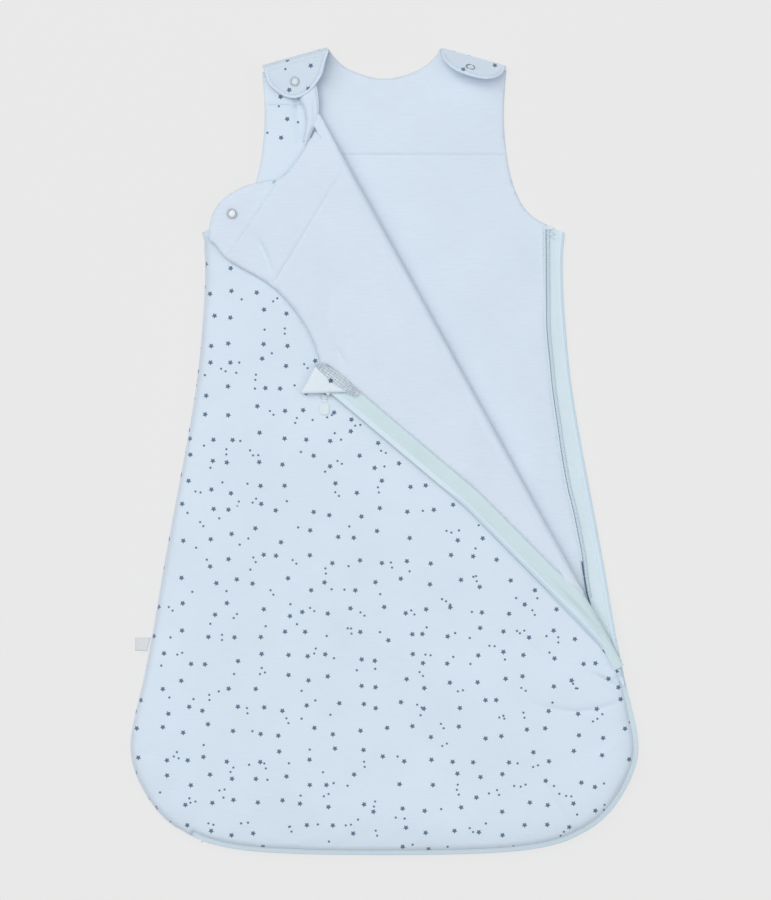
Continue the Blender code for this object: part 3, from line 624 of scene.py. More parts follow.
def panel(name, loop, upper, lower, surfaces, body, spacing=0.0050, fine=0.0026, band=0.012, shift=(0.0, 0.0),
          seams=(), crisp=(), puff=0.0):
    """A padded panel: two skins that meet, or are joined by a wall, along its outline.

    upper and lower turn (points, distance to the outline, place on it) into heights; the mesh is finer along
    the seams. Its rim has a crisp edge along the crisp lines, where another piece carries on.
    """
    low, high = loop.min(axis=0), loop.max(axis=0)
    grids = []
    for step, least, most in ((fine, 0.45 * fine, band), (spacing, band, 9.0)):
        grid = hex_grid(low, high, step)
        grid = grid[inside(grid, loop)]
        gap, _ = near(grid, loop)
        grids.append(grid[(gap > least) & (gap < most)])
    for seam in seams:
        seam = evenly(seam, 0.0024)
        rows = np.vstack([inset(seam, offset / 1000) for offset in (-3.4, -2.1, -1.2, -0.6, 0, 0.6, 1.2, 2.1, 3.4)])
        rows = rows[inside(rows, loop)]
        rows = rows[near(rows, loop)[0] > 0.0008]
        grids = [grid[near(grid, seam, closed=False)[0] > 0.0042] for grid in grids] + [rows]
    points = np.vstack([loop, *grids])
    border = [tuple(range(len(loop)))]
    made = geometry.delaunay_2d_cdt([Vector(p) for p in points], [], border, 1, 1e-7)
    flat = np.array([tuple(p) for p in made[0]])
    triangles = np.array([f for f in made[2] if len(f) == 3])
    used = np.unique(triangles)
    renumber = np.full(len(flat), -1)
    renumber[used] = np.arange(len(used))
    flat, triangles = flat[used], renumber[triangles]
    x, y = flat[triangles[:, 0]], flat[triangles[:, 1]]
    z = flat[triangles[:, 2]]
    area = (y[:, 0] - x[:, 0]) * (z[:, 1] - x[:, 1]) - (y[:, 1] - x[:, 1]) * (z[:, 0] - x[:, 0])
    triangles[area < 0] = triangles[area < 0][:, ::-1]
    edges = {}
    for a, b, c in triangles:
        for edge in ((a, b), (b, c), (c, a)):
            edges[edge] = True
    rim = [(a, b) for a, b in edges if (b, a) not in edges]
    gap, place = near(flat, loop)
    count = len(flat)
    top = np.column_stack([flat, upper(flat, gap, place)])
    bottom = np.column_stack([flat, lower(flat, gap, place)])
    bottom[:, 2] = np.minimum(bottom[:, 2], top[:, 2] - 0.0004)
    faces = [tuple(map(int, f)) for f in triangles]
    faces += [tuple(int(count + v) for v in f[::-1]) for f in triangles]
    faces += [(int(b), int(a), int(count + a), int(count + b)) for a, b in rim]
    slots = [0] * len(triangles) + [1] * len(triangles) + [0] * len(rim)
    cloth = np.vstack([flat, flat + (1.3, 0.4)]) + shift
    piece = mesh_piece(name, np.vstack([top, bottom]), faces, surfaces, None, slots, cloth)
    sharp = piece.data.attributes.new("sharp_edge", "BOOLEAN", "EDGE")
    walls = {}
    for a, b in rim:
        joined = any((near(flat[[a, b]], line, closed=False)[0] < 0.0003).all() for line in crisp)
        if joined or top[a, 2] - bottom[a, 2] > 0.003:
            walls[frozenset((int(a), int(b)))] = True
            walls[frozenset((int(count + a), int(count + b)))] = True
    keys = np.zeros(len(piece.data.edges) * 2, np.int32)
    piece.data.edges.foreach_get("vertices", keys)
    sharp.data.foreach_set("value", [frozenset(map(int, k)) in walls for k in keys.reshape(-1, 2)])
    if puff:
        held = gap < band * 0.25
        for seam in seams:
            held |= near(flat, np.asarray(seam)[:, :2], closed=False)[0] < 0.004
        swell(piece, np.concatenate([held, np.ones(count, bool)]), puff)
    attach(piece, body)
    return piece


SWELL_FRAMES = 20


def swell(piece, held, most):
    """The padding swells, in a cloth simulation, between the stitched lines that hold it, by this much at most."""
    bpy.context.scene.frame_set(1)
    group = piece.vertex_groups.new(name="held")
    group.add([int(k) for k in np.flatnonzero(held)], 1.0, "REPLACE")
    modifier = piece.modifiers.new("padding", "CLOTH")
    cloth = modifier.settings
    cloth.quality = 3
    cloth.mass = 0.3
    cloth.use_pressure = True
    cloth.uniform_pressure_force = 4.0
    cloth.tension_stiffness = cloth.compression_stiffness = 15.0
    cloth.bending_stiffness = 0.6
    cloth.effector_weights.gravity = 0.0
    cloth.vertex_group_mass = "held"
    modifier.point_cache.frame_start, modifier.point_cache.frame_end = 1, SWELL_FRAMES
    for step in range(1, SWELL_FRAMES + 1):
        bpy.context.scene.frame_set(step)
        evaluated = piece.evaluated_get(bpy.context.evaluated_depsgraph_get())
    count = len(piece.data.vertices)
    before, after = np.zeros(count * 3), np.zeros(count * 3)
    piece.data.vertices.foreach_get("co", before)
    evaluated.data.vertices.foreach_get("co", after)
    moved = (after - before).reshape(-1, 3)
    size = np.linalg.norm(moved, axis=1)[:, None] + 1e-12
    moved *= most * np.tanh(size / most) / size
    moved[held] = 0.0
    piece.modifiers.remove(modifier)
    piece.vertex_groups.remove(group)
    piece.data.vertices.foreach_set("co", (before.reshape(-1, 3) + moved * (0, 0, 1)).ravel())
    piece.data.update()
    bpy.context.scene.frame_set(1)


def dome(gap, width):
    """From 0 at the edge to 1 this far in, round like a quarter of an ellipse."""
    t = np.clip(gap / width, 0, 1)
    return np.sqrt(np.clip(1 - (1 - t) ** 2, 0, 1))


def level(z):
    """A skin of a panel that stays at one height."""
    return lambda points, gap, place: np.full(len(points), z)


def along_loop(values, place):
    """Values given for each point of a closed loop, at the places between them."""
    i = np.floor(place).astype(int)
    t = place - i
    return values[i % len(values)] * (1 - t) + values[(i + 1) % len(values)] * t


def spread(values, passes):
    for _ in range(passes):
        values = (np.roll(values, 1) + 2 * values + np.roll(values, -1)) / 4
    return values


# ---- the lines that the zip follows, repeated from the CAD, in millimetres -----------------------
SIDE = metres([(157, 190), (155, 157), (158, 102), (166, 35), (190, -95), (199, -149), (208, -196), (220, -250)])
CORNER = metres([(216.5, -278), (202, -305), (186, -322), (168, -333)])
FOOT = metres([(151, -340), (120, -346), (73, -349), (0, -350)])
LEFT_FOOT = FOOT[-2::-1] * (-1, 1)


def lower_foot(points):
    """The foot a little lower, where the padding pushes the zip out."""
    points = np.array(points, float)
    points[:, 1] -= 0.0013 * np.clip((-0.24 - points[:, 1]) / 0.08, 0, 1)
    return points


ZIP_LINE = lower_foot(smooth(np.vstack([SIDE, CORNER, FOOT, LEFT_FOOT, metres([(-168, -333)])])))
FOLD_EDGE = metres([(-57, 291), (208.7, -190)])
FLAP_ZIP = metres([(202, -186), (174, -155), (135, -115), (70.2, -49.5), (-45.5, 48), (-54.7, 55.8)])
FLAP_ZIP_LINE = np.vstack([smooth(FLAP_ZIP[:4])[:-1], FLAP_ZIP[3:4], FLAP_ZIP[5:]])
FOLD_LINE = inset(FOLD_EDGE, FOLD_R)
OPEN_END_Y, CLOSED_START_Y = -0.160, -0.225


def closed_share(line):
    """0 where the zip lies open and flat, 1 where its two halves stand together."""
    line = np.asarray(line)
    share = np.clip((OPEN_END_Y - line[:, 1]) / (OPEN_END_Y - CLOSED_START_Y), 0, 1)
    return np.where(line[:, 0] < 0, 1.0, share)


def foot_lift(y):
    """How much higher the front half of the foot's zip starts, to meet the flap's half."""
    return 0.0060 * np.clip((np.asarray(y) + 0.235) / 0.05, 0, 1) ** 2


# ---- padded panels ------------------------------------------------------------------------------
def on_line(loop, line, reach):
    return near(loop, np.asarray(line)[:, :2], closed=False)[0] < reach


def creased(points, creases):
    """The height of soft folds in the cloth: each is (line in mm, half-width in mm, depth in mm)."""
    total = np.zeros(len(points))
    for line, width, depth in creases:
        line = evenly(smooth(metres(line), 4), 0.003)
        far, place = near(points, line, closed=False)
        i = np.clip(np.floor(place).astype(int), 0, len(line) - 2)
        along, away = line[i + 1] - line[i], points - line[i]
        u = np.sign(along[:, 0] * away[:, 1] - along[:, 1] * away[:, 0]) * far / (width / 1000)
        fade = np.sin(np.pi * np.clip(place / (len(line) - 1), 0.03, 0.97)) ** 0.6
        total += depth / 1000 * fade * (0.7 * np.exp(-(((u - 1.5) / 1.3) ** 2)) - np.exp(-(u**2)))
    return total


def groove(points, line, depth, width=0.0012):
    return -depth * np.exp(-((near(points, np.asarray(line), closed=False)[0] / width) ** 2))


BACK_SEAM = evenly(smooth(metres([
    (139.7, 195.5), (140.2, 130.5), (140.6, 104.5), (143.1, 78.1), (145.7, 51.7), (150.2, 20), (154.2, -7.7),
    (158.8, -32.8), (163.4, -51.2), (168.7, -77.6), (171.4, -92.2), (175.3, -122.7), (180.5, -141),
])), 0.003)
FOLD_LENGTH = float(np.linalg.norm(FOLD_LINE[1] - FOLD_LINE[0]))
LINING_END = 0.474  # along the fold, from where the zip tape itself is what folds
YOKE_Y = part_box("back_yoke_lining")[0].y
TAB_SEAM_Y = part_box("front_outer_shell")[1].y
TAB_SEAM = metres([(-138, 166), (-91, 235.5)])
YOKE_SEAM = metres([(-34, 247.5), (-96.7, 143.5)])
BACK_YOKE = np.array([(-0.10, YOKE_Y - 0.0013), (0.112, YOKE_Y - 0.0013)])
FRONT_TAB = np.array([(-0.105, TAB_SEAM_Y - 0.0002), (-0.062, TAB_SEAM_Y - 0.0002)])
NECK_CREASE = metres([(-72, 312), (-75.6, 303), (-71.8, 288), (-70.3, 270)])
FLAP_CREASES = (
    ([(-113, 187), (-103.5, 171), (-98, 153)], 3.0, 2.0),
    ([(-75, 145), (-68, 120)], 3.6, 1.1),
    ([(-46.5, 144), (-48, 98)], 4.0, 1.0),
    ([(-44, 92), (-38, 82), (-31.5, 70)], 3.6, 1.6),
    ([(-7.5, 85), (1.5, 52)], 4.6, 1.1),
)
FRONT_CREASES = (
    ([(180, -194), (193, -200), (208, -211)], 3.0, 2.2),
    ([(129, -220), (152, -225), (176, -226), (210, -217)], 3.2, 1.3),
    ([(116, -160), (145, -187)], 4.6, 0.9),
    ([(135, -279), (146, -303), (162, -327)], 3.6, 1.1),
    ([(183, -268), (200, -254)], 3.5, -0.6),
)


def fold_half_height(reach):
    """Half the height of the roll at the fold, this far along it from the neck."""
    reach = np.asarray(reach)
    start = 0.16 + 0.84 * eased(reach / 0.070)
    end = 1 - 0.55 * eased((reach - 0.44) / 0.10)
    uneven = np.array([noise.noise(Vector((r * 24, 2.0, 0))) for r in reach.ravel()]).reshape(reach.shape)
    return FOLD_R * np.minimum(start, end) + 0.0003 * uneven * start


def along_fold(points):
    direction = (FOLD_LINE[1] - FOLD_LINE[0]) / FOLD_LENGTH
    return (np.asarray(points)[:, :2] - FOLD_LINE[0]) @ direction


def zip_lift(y):
    """How much higher the zip lies near the place where its two halves come together."""
    return 0.0115 * np.exp(-(((np.asarray(y) + 0.165) / 0.036) ** 2))


def back_panel():
    loop = rounded(outline_of("back_outer_shell"))
    for node in ("back_neck_binding", "back_armhole_binding_right", "back_armhole_binding_left"):
        loop = widened(loop, node)
    loop = lower_foot(loop)
    across = np.abs(loop[:, 0])
    loop[:, 1] += 0.0034 * np.clip((across - 0.049) / 0.057, 0, 1) * eased((loop[:, 1] - 0.300) / 0.028)
    side = (loop[:, 0] < -0.150) & (loop[:, 1] < 0.188)
    closed = on_line(loop, ZIP_LINE, 0.0185) & (loop[:, 1] < 0.185)
    share = closed_share(loop)
    opened = closed & ~side & (share < 1)
    _, place = near(loop, BACK_SEAM, closed=False)
    first = np.clip(np.floor(place).astype(int), 0, len(BACK_SEAM) - 2)
    on = BACK_SEAM[first] + (place - first)[:, None] * (BACK_SEAM[first + 1] - BACK_SEAM[first])
    pull = np.where(opened, eased((loop[:, 1] + 0.155) / 0.05), 0.0)[:, None]
    loop = loop + (on - loop) * pull
    low_edge, high_edge = np.full(len(loop), BACK_MIDDLE - 0.0012), np.full(len(loop), BACK_MIDDLE + 0.0012)
    low_edge[side], high_edge[side] = SEAM_Z - 0.0012, SEAM_Z - 0.0004
    zip_low = BACK_MIDDLE + 0.0032 + share * (0.0050 - BACK_MIDDLE) + zip_lift(loop[:, 1])
    low_edge[closed & ~side] = zip_low[closed & ~side]
    high_edge[closed & ~side] = zip_low[closed & ~side] + 0.0014
    low_edge, high_edge = spread(low_edge, 3), spread(high_edge, 3)
    widths = np.full(len(loop), 0.012)
    widths[opened] = 0.012 - 0.0075 * (1 - share[opened])
    widths = spread(widths, 3)

    def upper(points, gap, place):
        edge = along_loop(high_edge, place)
        rise = BACK_TOP + 0.0010 * waves(points, 0.055, 3.1) + 0.0005 * waves(points, 0.024, 7.7)
        rise = rise + BACK_LOFT * eased(gap / 0.045)
        rise = rise + BACK_LOFT * 0.55 * eased((points[:, 0] - 0.10) / 0.03) * eased((0.16 - points[:, 1]) / 0.05)
        rise = rise + groove(points, BACK_YOKE, 0.0009)
        return edge + (rise - edge) * dome(gap, along_loop(widths, place))

    def lower(points, gap, place):
        edge = along_loop(low_edge, place)
        return edge * (1 - dome(gap, 0.016))

    made = panel("back_panel", loop, upper, lower, [LINING, PRINTED], "bag", seams=[BACK_YOKE], puff=0.0015)
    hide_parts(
        "back_outer_shell", "back_wadding", "back_lining", "back_yoke_lining", "back_armhole_binding_right",
        "back_armhole_binding_left",
    )
    return made


def front_panel():
    loop = united(rounded(outline_of("front_outer_shell")), rounded(outline_of("front_tab_outer_left")))
    for node in ("front_neck_binding_left", "front_armhole_binding_left"):
        loop = widened(loop, node)
    loop = snapped(lower_foot(loop), FOLD_LINE)
    side = (loop[:, 0] < -0.150) & (loop[:, 1] < 0.188)
    foot = on_line(loop, ZIP_LINE, 0.0065) & (loop[:, 1] < -0.18)
    fold = on_line(loop, FOLD_LINE, 0.0012)
    high = np.full(len(loop), FRONT_MIDDLE + 0.0013)
    low = np.full(len(loop), FRONT_MIDDLE - 0.0013)
    high[side], low[side] = SEAM_Z + 0.0012, SEAM_Z + 0.0004
    high[foot] = SEAM_Z + 0.0046 + foot_lift(loop[foot, 1])
    low[foot] = high[foot] - 0.0012
    high, low = spread(high, 4), spread(low, 4)
    half = fold_half_height(along_fold(loop))
    high[fold] = FRONT_TOP
    low[fold] = np.minimum(FOLD_Z - half, FRONT_TOP - 0.0012)[fold]
    widths = np.full(len(loop), 0.007)
    widths[side | foot] = 0.017
    widths = spread(widths, 4)

    def upper(points, gap, place):
        edge = along_loop(high, place)
        calm = eased((near(points, FOLD_LINE, closed=False)[0] - 0.001) / 0.014)
        wavy = 0.0012 * waves(points, 0.075, 1.3) + 0.0006 * waves(points, 0.026, 5.1)
        thin = 0.0010 * eased((points[:, 1] - TAB_SEAM_Y) / 0.006)
        rise = FRONT_TOP + wavy * calm - thin + creased(points, FRONT_CREASES) + groove(points, FRONT_TAB, 0.0010)
        rise = rise + groove(points, NECK_CREASE, 0.0050, 0.0034)
        return edge + (rise - edge) * dome(gap, along_loop(widths, place))

    def lower(points, gap, place):
        edge = along_loop(low, place)
        return edge + (FRONT_BOTTOM - edge) * dome(gap, along_loop(widths, place))

    lines = [FRONT_TAB, *(metres(c[0]) for c in FRONT_CREASES)]
    made = panel("front_panel", loop, upper, lower, [PRINTED, LINING], "bag", seams=lines, crisp=[FOLD_LINE],
                 puff=0.0015)
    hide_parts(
        "front_outer_shell", "front_wadding", "front_lining", "front_tab_outer_left", "front_tab_lining_left",
        "front_armhole_binding_left",
    )
    return made


def flap_panel():
    loop = united(rounded(outline_of("flap_outer_shell")), rounded(outline_of("flap_tab_outer")))
    for node in ("flap_armhole_binding", "flap_tab_binding", "flap_neck_binding"):
        loop = widened(loop, node)
    loop = snapped(loop, FOLD_LINE)
    fold = on_line(loop, FOLD_LINE, 0.0012)
    high = np.full(len(loop), FLAP_MIDDLE + 0.0011)
    half = fold_half_height(along_fold(loop))
    drop = eased(1 - along_fold(loop) / 0.05) * eased(1 - near(loop, FOLD_LINE, closed=False)[0] / 0.04)
    high = high - 0.0042 * drop
    high[fold] = (FOLD_Z + half)[fold]
    low = np.minimum(high - 0.0022, FLAP_MIDDLE - 0.0011)
    low[fold] = np.minimum(high[fold] - 0.0012, FLAP_BOTTOM)
    along = (TAB_SEAM[1] - TAB_SEAM[0]) / np.linalg.norm(TAB_SEAM[1] - TAB_SEAM[0])
    outward = np.array([-along[1], along[0]])

    def thinning(points):
        return eased(((points - TAB_SEAM[0]) @ outward + 0.0006) / 0.004)

    def upper(points, gap, place):
        edge = along_loop(high, place)
        far = near(points, FOLD_LINE, closed=False)[0]
        calm = eased((far - 0.001) / 0.012)
        wavy = 0.0012 * waves(points, 0.05, 9.3) + 0.0006 * waves(points, 0.024, 4.4) + creased(points, FLAP_CREASES)
        wavy = wavy + groove(points, YOKE_SEAM, 0.0008) + groove(points, TAB_SEAM, 0.0013) - 0.0012 * thinning(points)
        top_line = FOLD_Z + fold_half_height(along_fold(points))
        rise = top_line + (FLAP_TOP - top_line) * eased(far / 0.040) + wavy * calm
        return edge + (rise - edge) * dome(gap, 0.009)

    def lower(points, gap, place):
        edge = along_loop(low, place)
        rise = FLAP_BOTTOM + 0.0012 * thinning(points)
        return edge + (rise - edge) * dome(gap, 0.009)

    lines = [YOKE_SEAM, TAB_SEAM, *(metres(c[0]) for c in FLAP_CREASES)]
    made = panel("flap_panel", loop, upper, lower, [LINING, PRINTED], "front_flap", shift=(0.11, 0.11), seams=lines,
                 crisp=[FOLD_LINE], puff=0.0010)
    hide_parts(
        "flap_outer_shell", "flap_wadding", "flap_lining", "flap_yoke_lining", "flap_tab_outer",
        "flap_tab_lining", "flap_armhole_binding", "flap_tab_binding", "flap_neck_binding",
    )
    return made


# ---- bound edges --------------------------------------------------------------------------------
def roll(name, line, body, surface, reach=0.0026, thick=0.0012):
    """A thin rolled edge that lies to the right of a line."""
    wobble = 1 + 0.04 * np.array([noise.noise(Vector((x * 90, y * 90, 1.0))) for x, y, _ in line])
    half = np.array([(1.0, 0.72), (0.84, 0.94), (0.54, 1.0), (0.27, 0.92), (0.09, 0.62), (0.0, 0.2)])
    half = half * (reach, thick)
    section = np.vstack([half, (half * (1, -1))[::-1]])
    sections = section[None] * np.stack([np.ones(len(line)), wobble], axis=1)[:, None, :]
    made = swept(name, line, sections, surface, body, sharp=70)
    return made


def side_line(node, loop):
    """The side of a CAD band away from the loop it runs along, smooth, with the band on its right."""
    outer, inner = sides_of(node, loop)
    if (rights(outer) * (inner - outer)).sum() < 0:
        outer = outer[::-1]
    return evenly(smooth(evenly(outer, 0.006), 3), 0.0022)


# ---- the shoulders ------------------------------------------------------------------------------
SHOULDER = metres([(49.8, 350), (106, 334.4)])
SLOPE = (SHOULDER[1] - SHOULDER[0]) / np.linalg.norm(SHOULDER[1] - SHOULDER[0])
LEFT_TAB = metres([(-51.0, 337), (-54, 325.6), (-59, 317.6), (-65.2, 310.6), (-74.5, 305.4), (-84, 305.6),
                   (-93.4, 310.6), (-100.4, 317.8)])
RIGHT_TAB = metres([(102.2, 326.6), (96, 322.8), (87.5, 321.3), (74.5, 323.7), (61.8, 328.8), (54.2, 335),
                    (49.8, 342.5)])
TAB_HINGE = np.array([0.076182, 0.336407])  # of the right tab, where it starts to rise
PRINT_SHIFT = {"left": (0.253, 0.117), "right": (0.181, 0.043)}  # the print runs on from the tab to its strip


def shoulder(side):
    """One back shoulder tab: its strip over the shoulder, its padded end, its piping and stitches."""
    left = side == "left"
    body = side + "_back_tab"
    flip = np.array([-1.0, 1.0]) if left else np.array([1.0, 1.0])
    inner, outer = SHOULDER[0] * flip, SHOULDER[1] * flip
    into = -np.array([-SLOPE[1], SLOPE[0]]) * flip
    depth = 0.0060 if left else 0.0008
    start, end = inner + into * depth, outer + into * depth
    curve = LEFT_TAB if left else RIGHT_TAB
    first, last = (start, end) if left else (end, start)
    curve = evenly(smooth(np.vstack([first, curve, last]), 6), 0.0022)
    back_along = evenly(np.vstack([last, first]), 0.0022)[1:-1]
    loop = np.vstack([curve, back_along])
    hinge = np.vstack([start, end])

    def plane(points):
        if left:
            return np.full(len(points), 0.0289)
        return 0.0157 + 1.46 * ((points - TAB_HINGE) @ into)

    thick = 0.0012 if left else 0.0019

    def relief(points):
        soft = 0.0007 * waves(points, 0.022, 2.2 if left else 6.1)
        if left:
            soft = soft + creased(points, (
                ([(-103, 321), (-96, 330), (-84, 335), (-73, 341)], 2.2, 1.5),
                ([(-70, 339), (-67, 330)], 2.4, 1.1),
            ))
        return soft

    def upper(points, gap, place):
        edge_gap = near(points, curve, closed=False)[0]
        seam_gap = near(points, hinge, closed=False)[0]
        calm = eased((seam_gap - 0.0005) / 0.006)
        crown = (dome(edge_gap, 0.006) - 1) * thick * 1.2
        return plane(points) + thick + (relief(points) + crown) * calm

    def lower(points, gap, place):
        edge_gap = near(points, curve, closed=False)[0]
        return plane(points) - thick + (1 - dome(edge_gap, 0.006)) * thick * 0.6

    # The left tab wears the darker copy of the print, which paints shade on it.
    tab = panel(side + "_tab", loop, upper, lower, [PAINTED_SHADE_PRINT if left else PRINTED, LINING], body, spacing=0.003,
                fine=0.0018, band=0.008, shift=PRINT_SHIFT[side])
    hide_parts(side + "_tab_outer", side + "_tab_lining")

    strip(side, inner, outer, into, depth, float(plane(start[None])[0]) + thick)

    edge = evenly(smooth(curve, 1), 0.0016)
    heights = plane(edge) - (0.0002 if left else 0.0)
    made = roll(side + "_tab_piping", at_height(edge, heights), body, BOUND, reach=0.0022, thick=0.0016)
    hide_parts(side + "_tab_binding")
    row = Surface(tab).on(shortened(inset(edge, 0.0034), 0.004, 0.004), 0.0001, 0.03)
    threads(side + "_tab_stitches", running(row, 0.0016, 0.0007), STITCH_RADIUS, SEAM_THREAD, body)


def strip(side, inner, outer, into, depth, top):
    """The cloth over the shoulder, from under the back to the upper side of the tab."""
    left = side == "left"
    path = evenly(np.vstack([outer, inner]) if left else np.vstack([inner, outer]), 0.004)
    if rights(path)[0] @ into < 0:
        path = path[::-1]
    low = 0.0005
    if left:
        turn = np.linspace(-math.pi / 2, math.pi / 2, 17)
        middle, half = (top + low) / 2, (top - low) / 2
        skin = np.stack([depth * (1 - np.cos(turn)), middle + half * np.sin(turn)], axis=-1)
        skin = np.vstack([[(depth + 0.006, low)], skin])
        across, up = depth * (1 - np.cos(turn)) + 0.0012 * np.cos(turn), middle + (half - 0.0012) * np.sin(turn)
        back = np.stack([across, up], axis=-1)
        back = np.vstack([[(depth + 0.006, low + 0.0012)], back])
    else:
        skin = smooth(metres([(6.0, 0.5), (2.0, 0.5), (0.5, 2.0), (0.0, 4.5), (0.1, 8.5), (0.8, top * 1000)]), 3)
        back = skin + (0.0012, 0.0)
    section = np.vstack([skin, back[::-1]])
    # The left strip wears the darker copy of the print, as painted shade.
    made = swept(side + "_shoulder_strip", at_height(path, 0.0), section, PAINTED_SHADE_PRINT if left else PRINTED, None,
                 sharp=80)
    reach = travelled(skin)
    across = np.concatenate([reach - reach[-1], (reach - reach[-1])[::-1]])
    base = path + into * depth
    cloth = base[:, None, :] + into[None, None, :] * across[None, :, None]
    cloth = cloth.reshape(-1, 2) + PRINT_SHIFT[side]
    corner = np.zeros(len(made.data.loops), np.int32)
    made.data.loops.foreach_get("vertex_index", corner)
    made.data.uv_layers["cloth"].data.foreach_set("uv", cloth.astype(np.float32)[corner].ravel())
    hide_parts(side + "_shoulder_fold")
    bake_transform(made)


# ---- the fold of the front ----------------------------------------------------------------------
def fold_roll(name, start, end, surface, grow=0.0):
    """The cloth that rolls over at the fold, from the underside of the front to the top of the flap."""
    line = shortened(evenly(FOLD_LINE, 0.004), start, FOLD_LENGTH - end)
    half = fold_half_height(along_fold(line)) + grow
    turn = np.linspace(-math.pi / 2, math.pi / 2, 19)
    outer = np.stack([np.broadcast_to(-(FOLD_R + 0.0009 + grow) * np.abs(np.cos(turn)) ** 0.6, (len(line), 19)),
                      half[:, None] * np.sin(turn)], axis=-1)
    outer = np.concatenate([outer, outer[:, -1:] + (0.0007, -0.00003)], axis=1)
    inner = np.stack([np.broadcast_to(-(FOLD_R - 0.0010) * np.cos(turn[::-1]), (len(line), 19)),
                      (half[:, None] - 0.0010) * np.sin(turn[::-1])], axis=-1)
    made = swept(name, at_height(line, FOLD_Z), np.concatenate([outer, inner], axis=1), surface, None, sharp=80,
                 shift=(0.3, 0.2))
    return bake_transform(made)


def fold():
    made = fold_roll("fold_lining", 0.0, LINING_END, LINING)
    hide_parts("front_fold")
    end = fold_roll("fold_tape", LINING_END - 0.003, FOLD_LENGTH - 0.004, TWILL, grow=-0.0003)
    line = shortened(evenly(FOLD_LINE, 0.004), 0.012, 0.03)
    turn = np.linspace(-math.pi / 2, math.pi / 2, 9)
    small = (FLAP_BOTTOM - FRONT_TOP) / 2
    outer = np.stack([0.0006 + small * np.cos(turn), small * np.sin(turn)], axis=-1)
    back = np.stack([np.full(9, -0.0002) + 0.4 * small * np.cos(turn[::-1]), 0.6 * small * np.sin(turn[::-1])], -1)
    crease = swept("fold_crease", at_height(line, (FRONT_TOP + FLAP_BOTTOM) / 2), np.vstack([outer, back]),
                   PRINTED, None, sharp=80)
    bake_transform(crease)
    edge = metres([(139, -122.5), (156.7, -139.6), (168.4, -151.9), (183.5, -167.6), (191.7, -176.9), (199.5, -189.8),
                   (206, -204)])
    edge = evenly(smooth(edge), 0.003)
    ridge = metres([(0.6, -1.0), (0.0, 0.1), (-0.4, 1.1), (-1.4, 2.0), (-3.4, 2.4), (-6.5, 2.0), (-7.0, -1.0)])
    share = np.sin(np.pi * np.linspace(0.04, 0.96, len(edge))) ** 0.5
    path = Surface(FRONT).on(edge, 0.0, FRONT_TOP)
    made = swept("front_edge_fold", path, ridge[None] * share[:, None, None], PRINTED, "bag", sharp=80,
                 shift=(0.05, 0.31))


def neck_roll():
    """The lining that rolls out along the front's side of the neck, with its piping."""
    right = metres([(-59.2, 318.5), (-57.4, 309), (-56.7, 300), (-57.1, 291), (-58.8, 283), (-61.6, 278),
                    (-64.6, 270.5), (-67.5, 264.5)])
    left = metres([(-71, 268), (-69.3, 276), (-68.4, 286), (-70, 296), (-73.8, 305), (-72, 316)])
    curve = evenly(smooth(right, 6), 0.0022)
    loop = np.vstack([curve, evenly(smooth(left, 6), 0.0022)])
    loop = np.vstack([loop, evenly(np.vstack([loop[-1], loop[0]]), 0.0022)[1:-1]])

    def upper(points, gap, place):
        return 0.0238 + 0.0052 * dome(gap, 0.0060) + creased(points, (
            ([(-62.5, 312), (-60.5, 300), (-61, 287), (-64, 276)], 1.1, 1.3),
        ))

    made = panel("neck_roll", loop, upper, level(0.0226), [LINING, LINING], "bag", spacing=0.0026, fine=0.0016,
                 band=0.008, shift=(0.4, 0.1))
    # Painted shadow: two thick dark bars stand in for the shade in the notch at the roll's tip.
    notch = metres([[(-60.2, 279.2, 29.0), (-61.9, 275.4, 29.2)], [(-61.8, 275.8, 29.2), (-64.4, 270.2, 28.6)]])
    threads("neck_notch_painted_shadow", notch, 0.0007, DARK_THREAD_AND_SHADE, "bag")
    piped = roll("neck_piping", at_height(curve, 0.0252), "bag", BOUND, reach=0.0026, thick=0.0016)
    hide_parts("front_neck_binding_left")


# ---- the zip ------------------------------------------------------------------------------------
OPEN_SECTION = metres([
    (18.8, -0.5), (18.8, 0.4), (12.0, 0.6), (5.6, 0.6), (4.8, 0.9), (4.2, 1.35), (3.0, 1.6), (1.9, 1.35),
    (1.5, 0.75), (0.5, 0.7), (0.1, 0.0), (0.5, -0.7), (1.5, -0.8), (3.0, -1.3), (4.4, -0.8), (6.4, -0.5), (12.0, -0.6),
])
SHUT_SECTION = metres([
    (5.0, 8.6), (5.4, 9.6), (4.4, 10.2), (3.9, 10.5), (3.5, 10.9), (2.8, 11.5), (2.0, 11.9), (1.2, 11.9),
    (0.8, 11.8), (0.3, 11.6), (0.0, 11.15), (0.3, 10.7), (1.0, 10.3), (2.0, 9.9), (2.9, 9.5), (3.6, 9.0), (4.3, 8.6),
])
WIDE = (18.8, 17.4, 16.0, 14.6, 13.2, 11.8, 10.4, 9.0, 7.6)
FLAP_SECTION = np.vstack([
    metres([(18.8, -0.5)]), metres([(x, 0.5) for x in WIDE]), OPEN_SECTION[4:16],
    metres([(x, -0.5) for x in WIDE[:0:-1]]),
])
FLAP_BANDS = [1 if 10 <= k < 20 else 0 for k in range(len(FLAP_SECTION))]
TAPE_BANDS = [0, 0, 0, 0, 1, 1, 1, 1, 1, 1, 1, 1, 1, 1, 0, 0, 0]


TEETH_PITCH, TEETH_RADIUS, TEETH_REACH = 0.00125, 0.00040, (0.0001, 0.0013)


def between(one, other, share):
    """Sections that go from one to the other as share goes from 0 to 1."""
    return one[None] + (other - one)[None] * np.asarray(share)[:, None, None]


def teeth(name, line, height, body):
    """Small bars across a zip's edge; height is a function of the place."""
    reach = travelled(line)
    places = np.arange(TEETH_PITCH, reach[-1] - TEETH_PITCH, TEETH_PITCH)
    middle = np.stack([np.interp(places, reach, line[:, i]) for i in range(2)], axis=1)
    side = rights(middle)
    z = height(middle)
    rows = [np.column_stack([middle + side * away, z]) for away in TEETH_REACH]
    threads(name, np.stack(rows, axis=1), TEETH_RADIUS, TEETH, body)


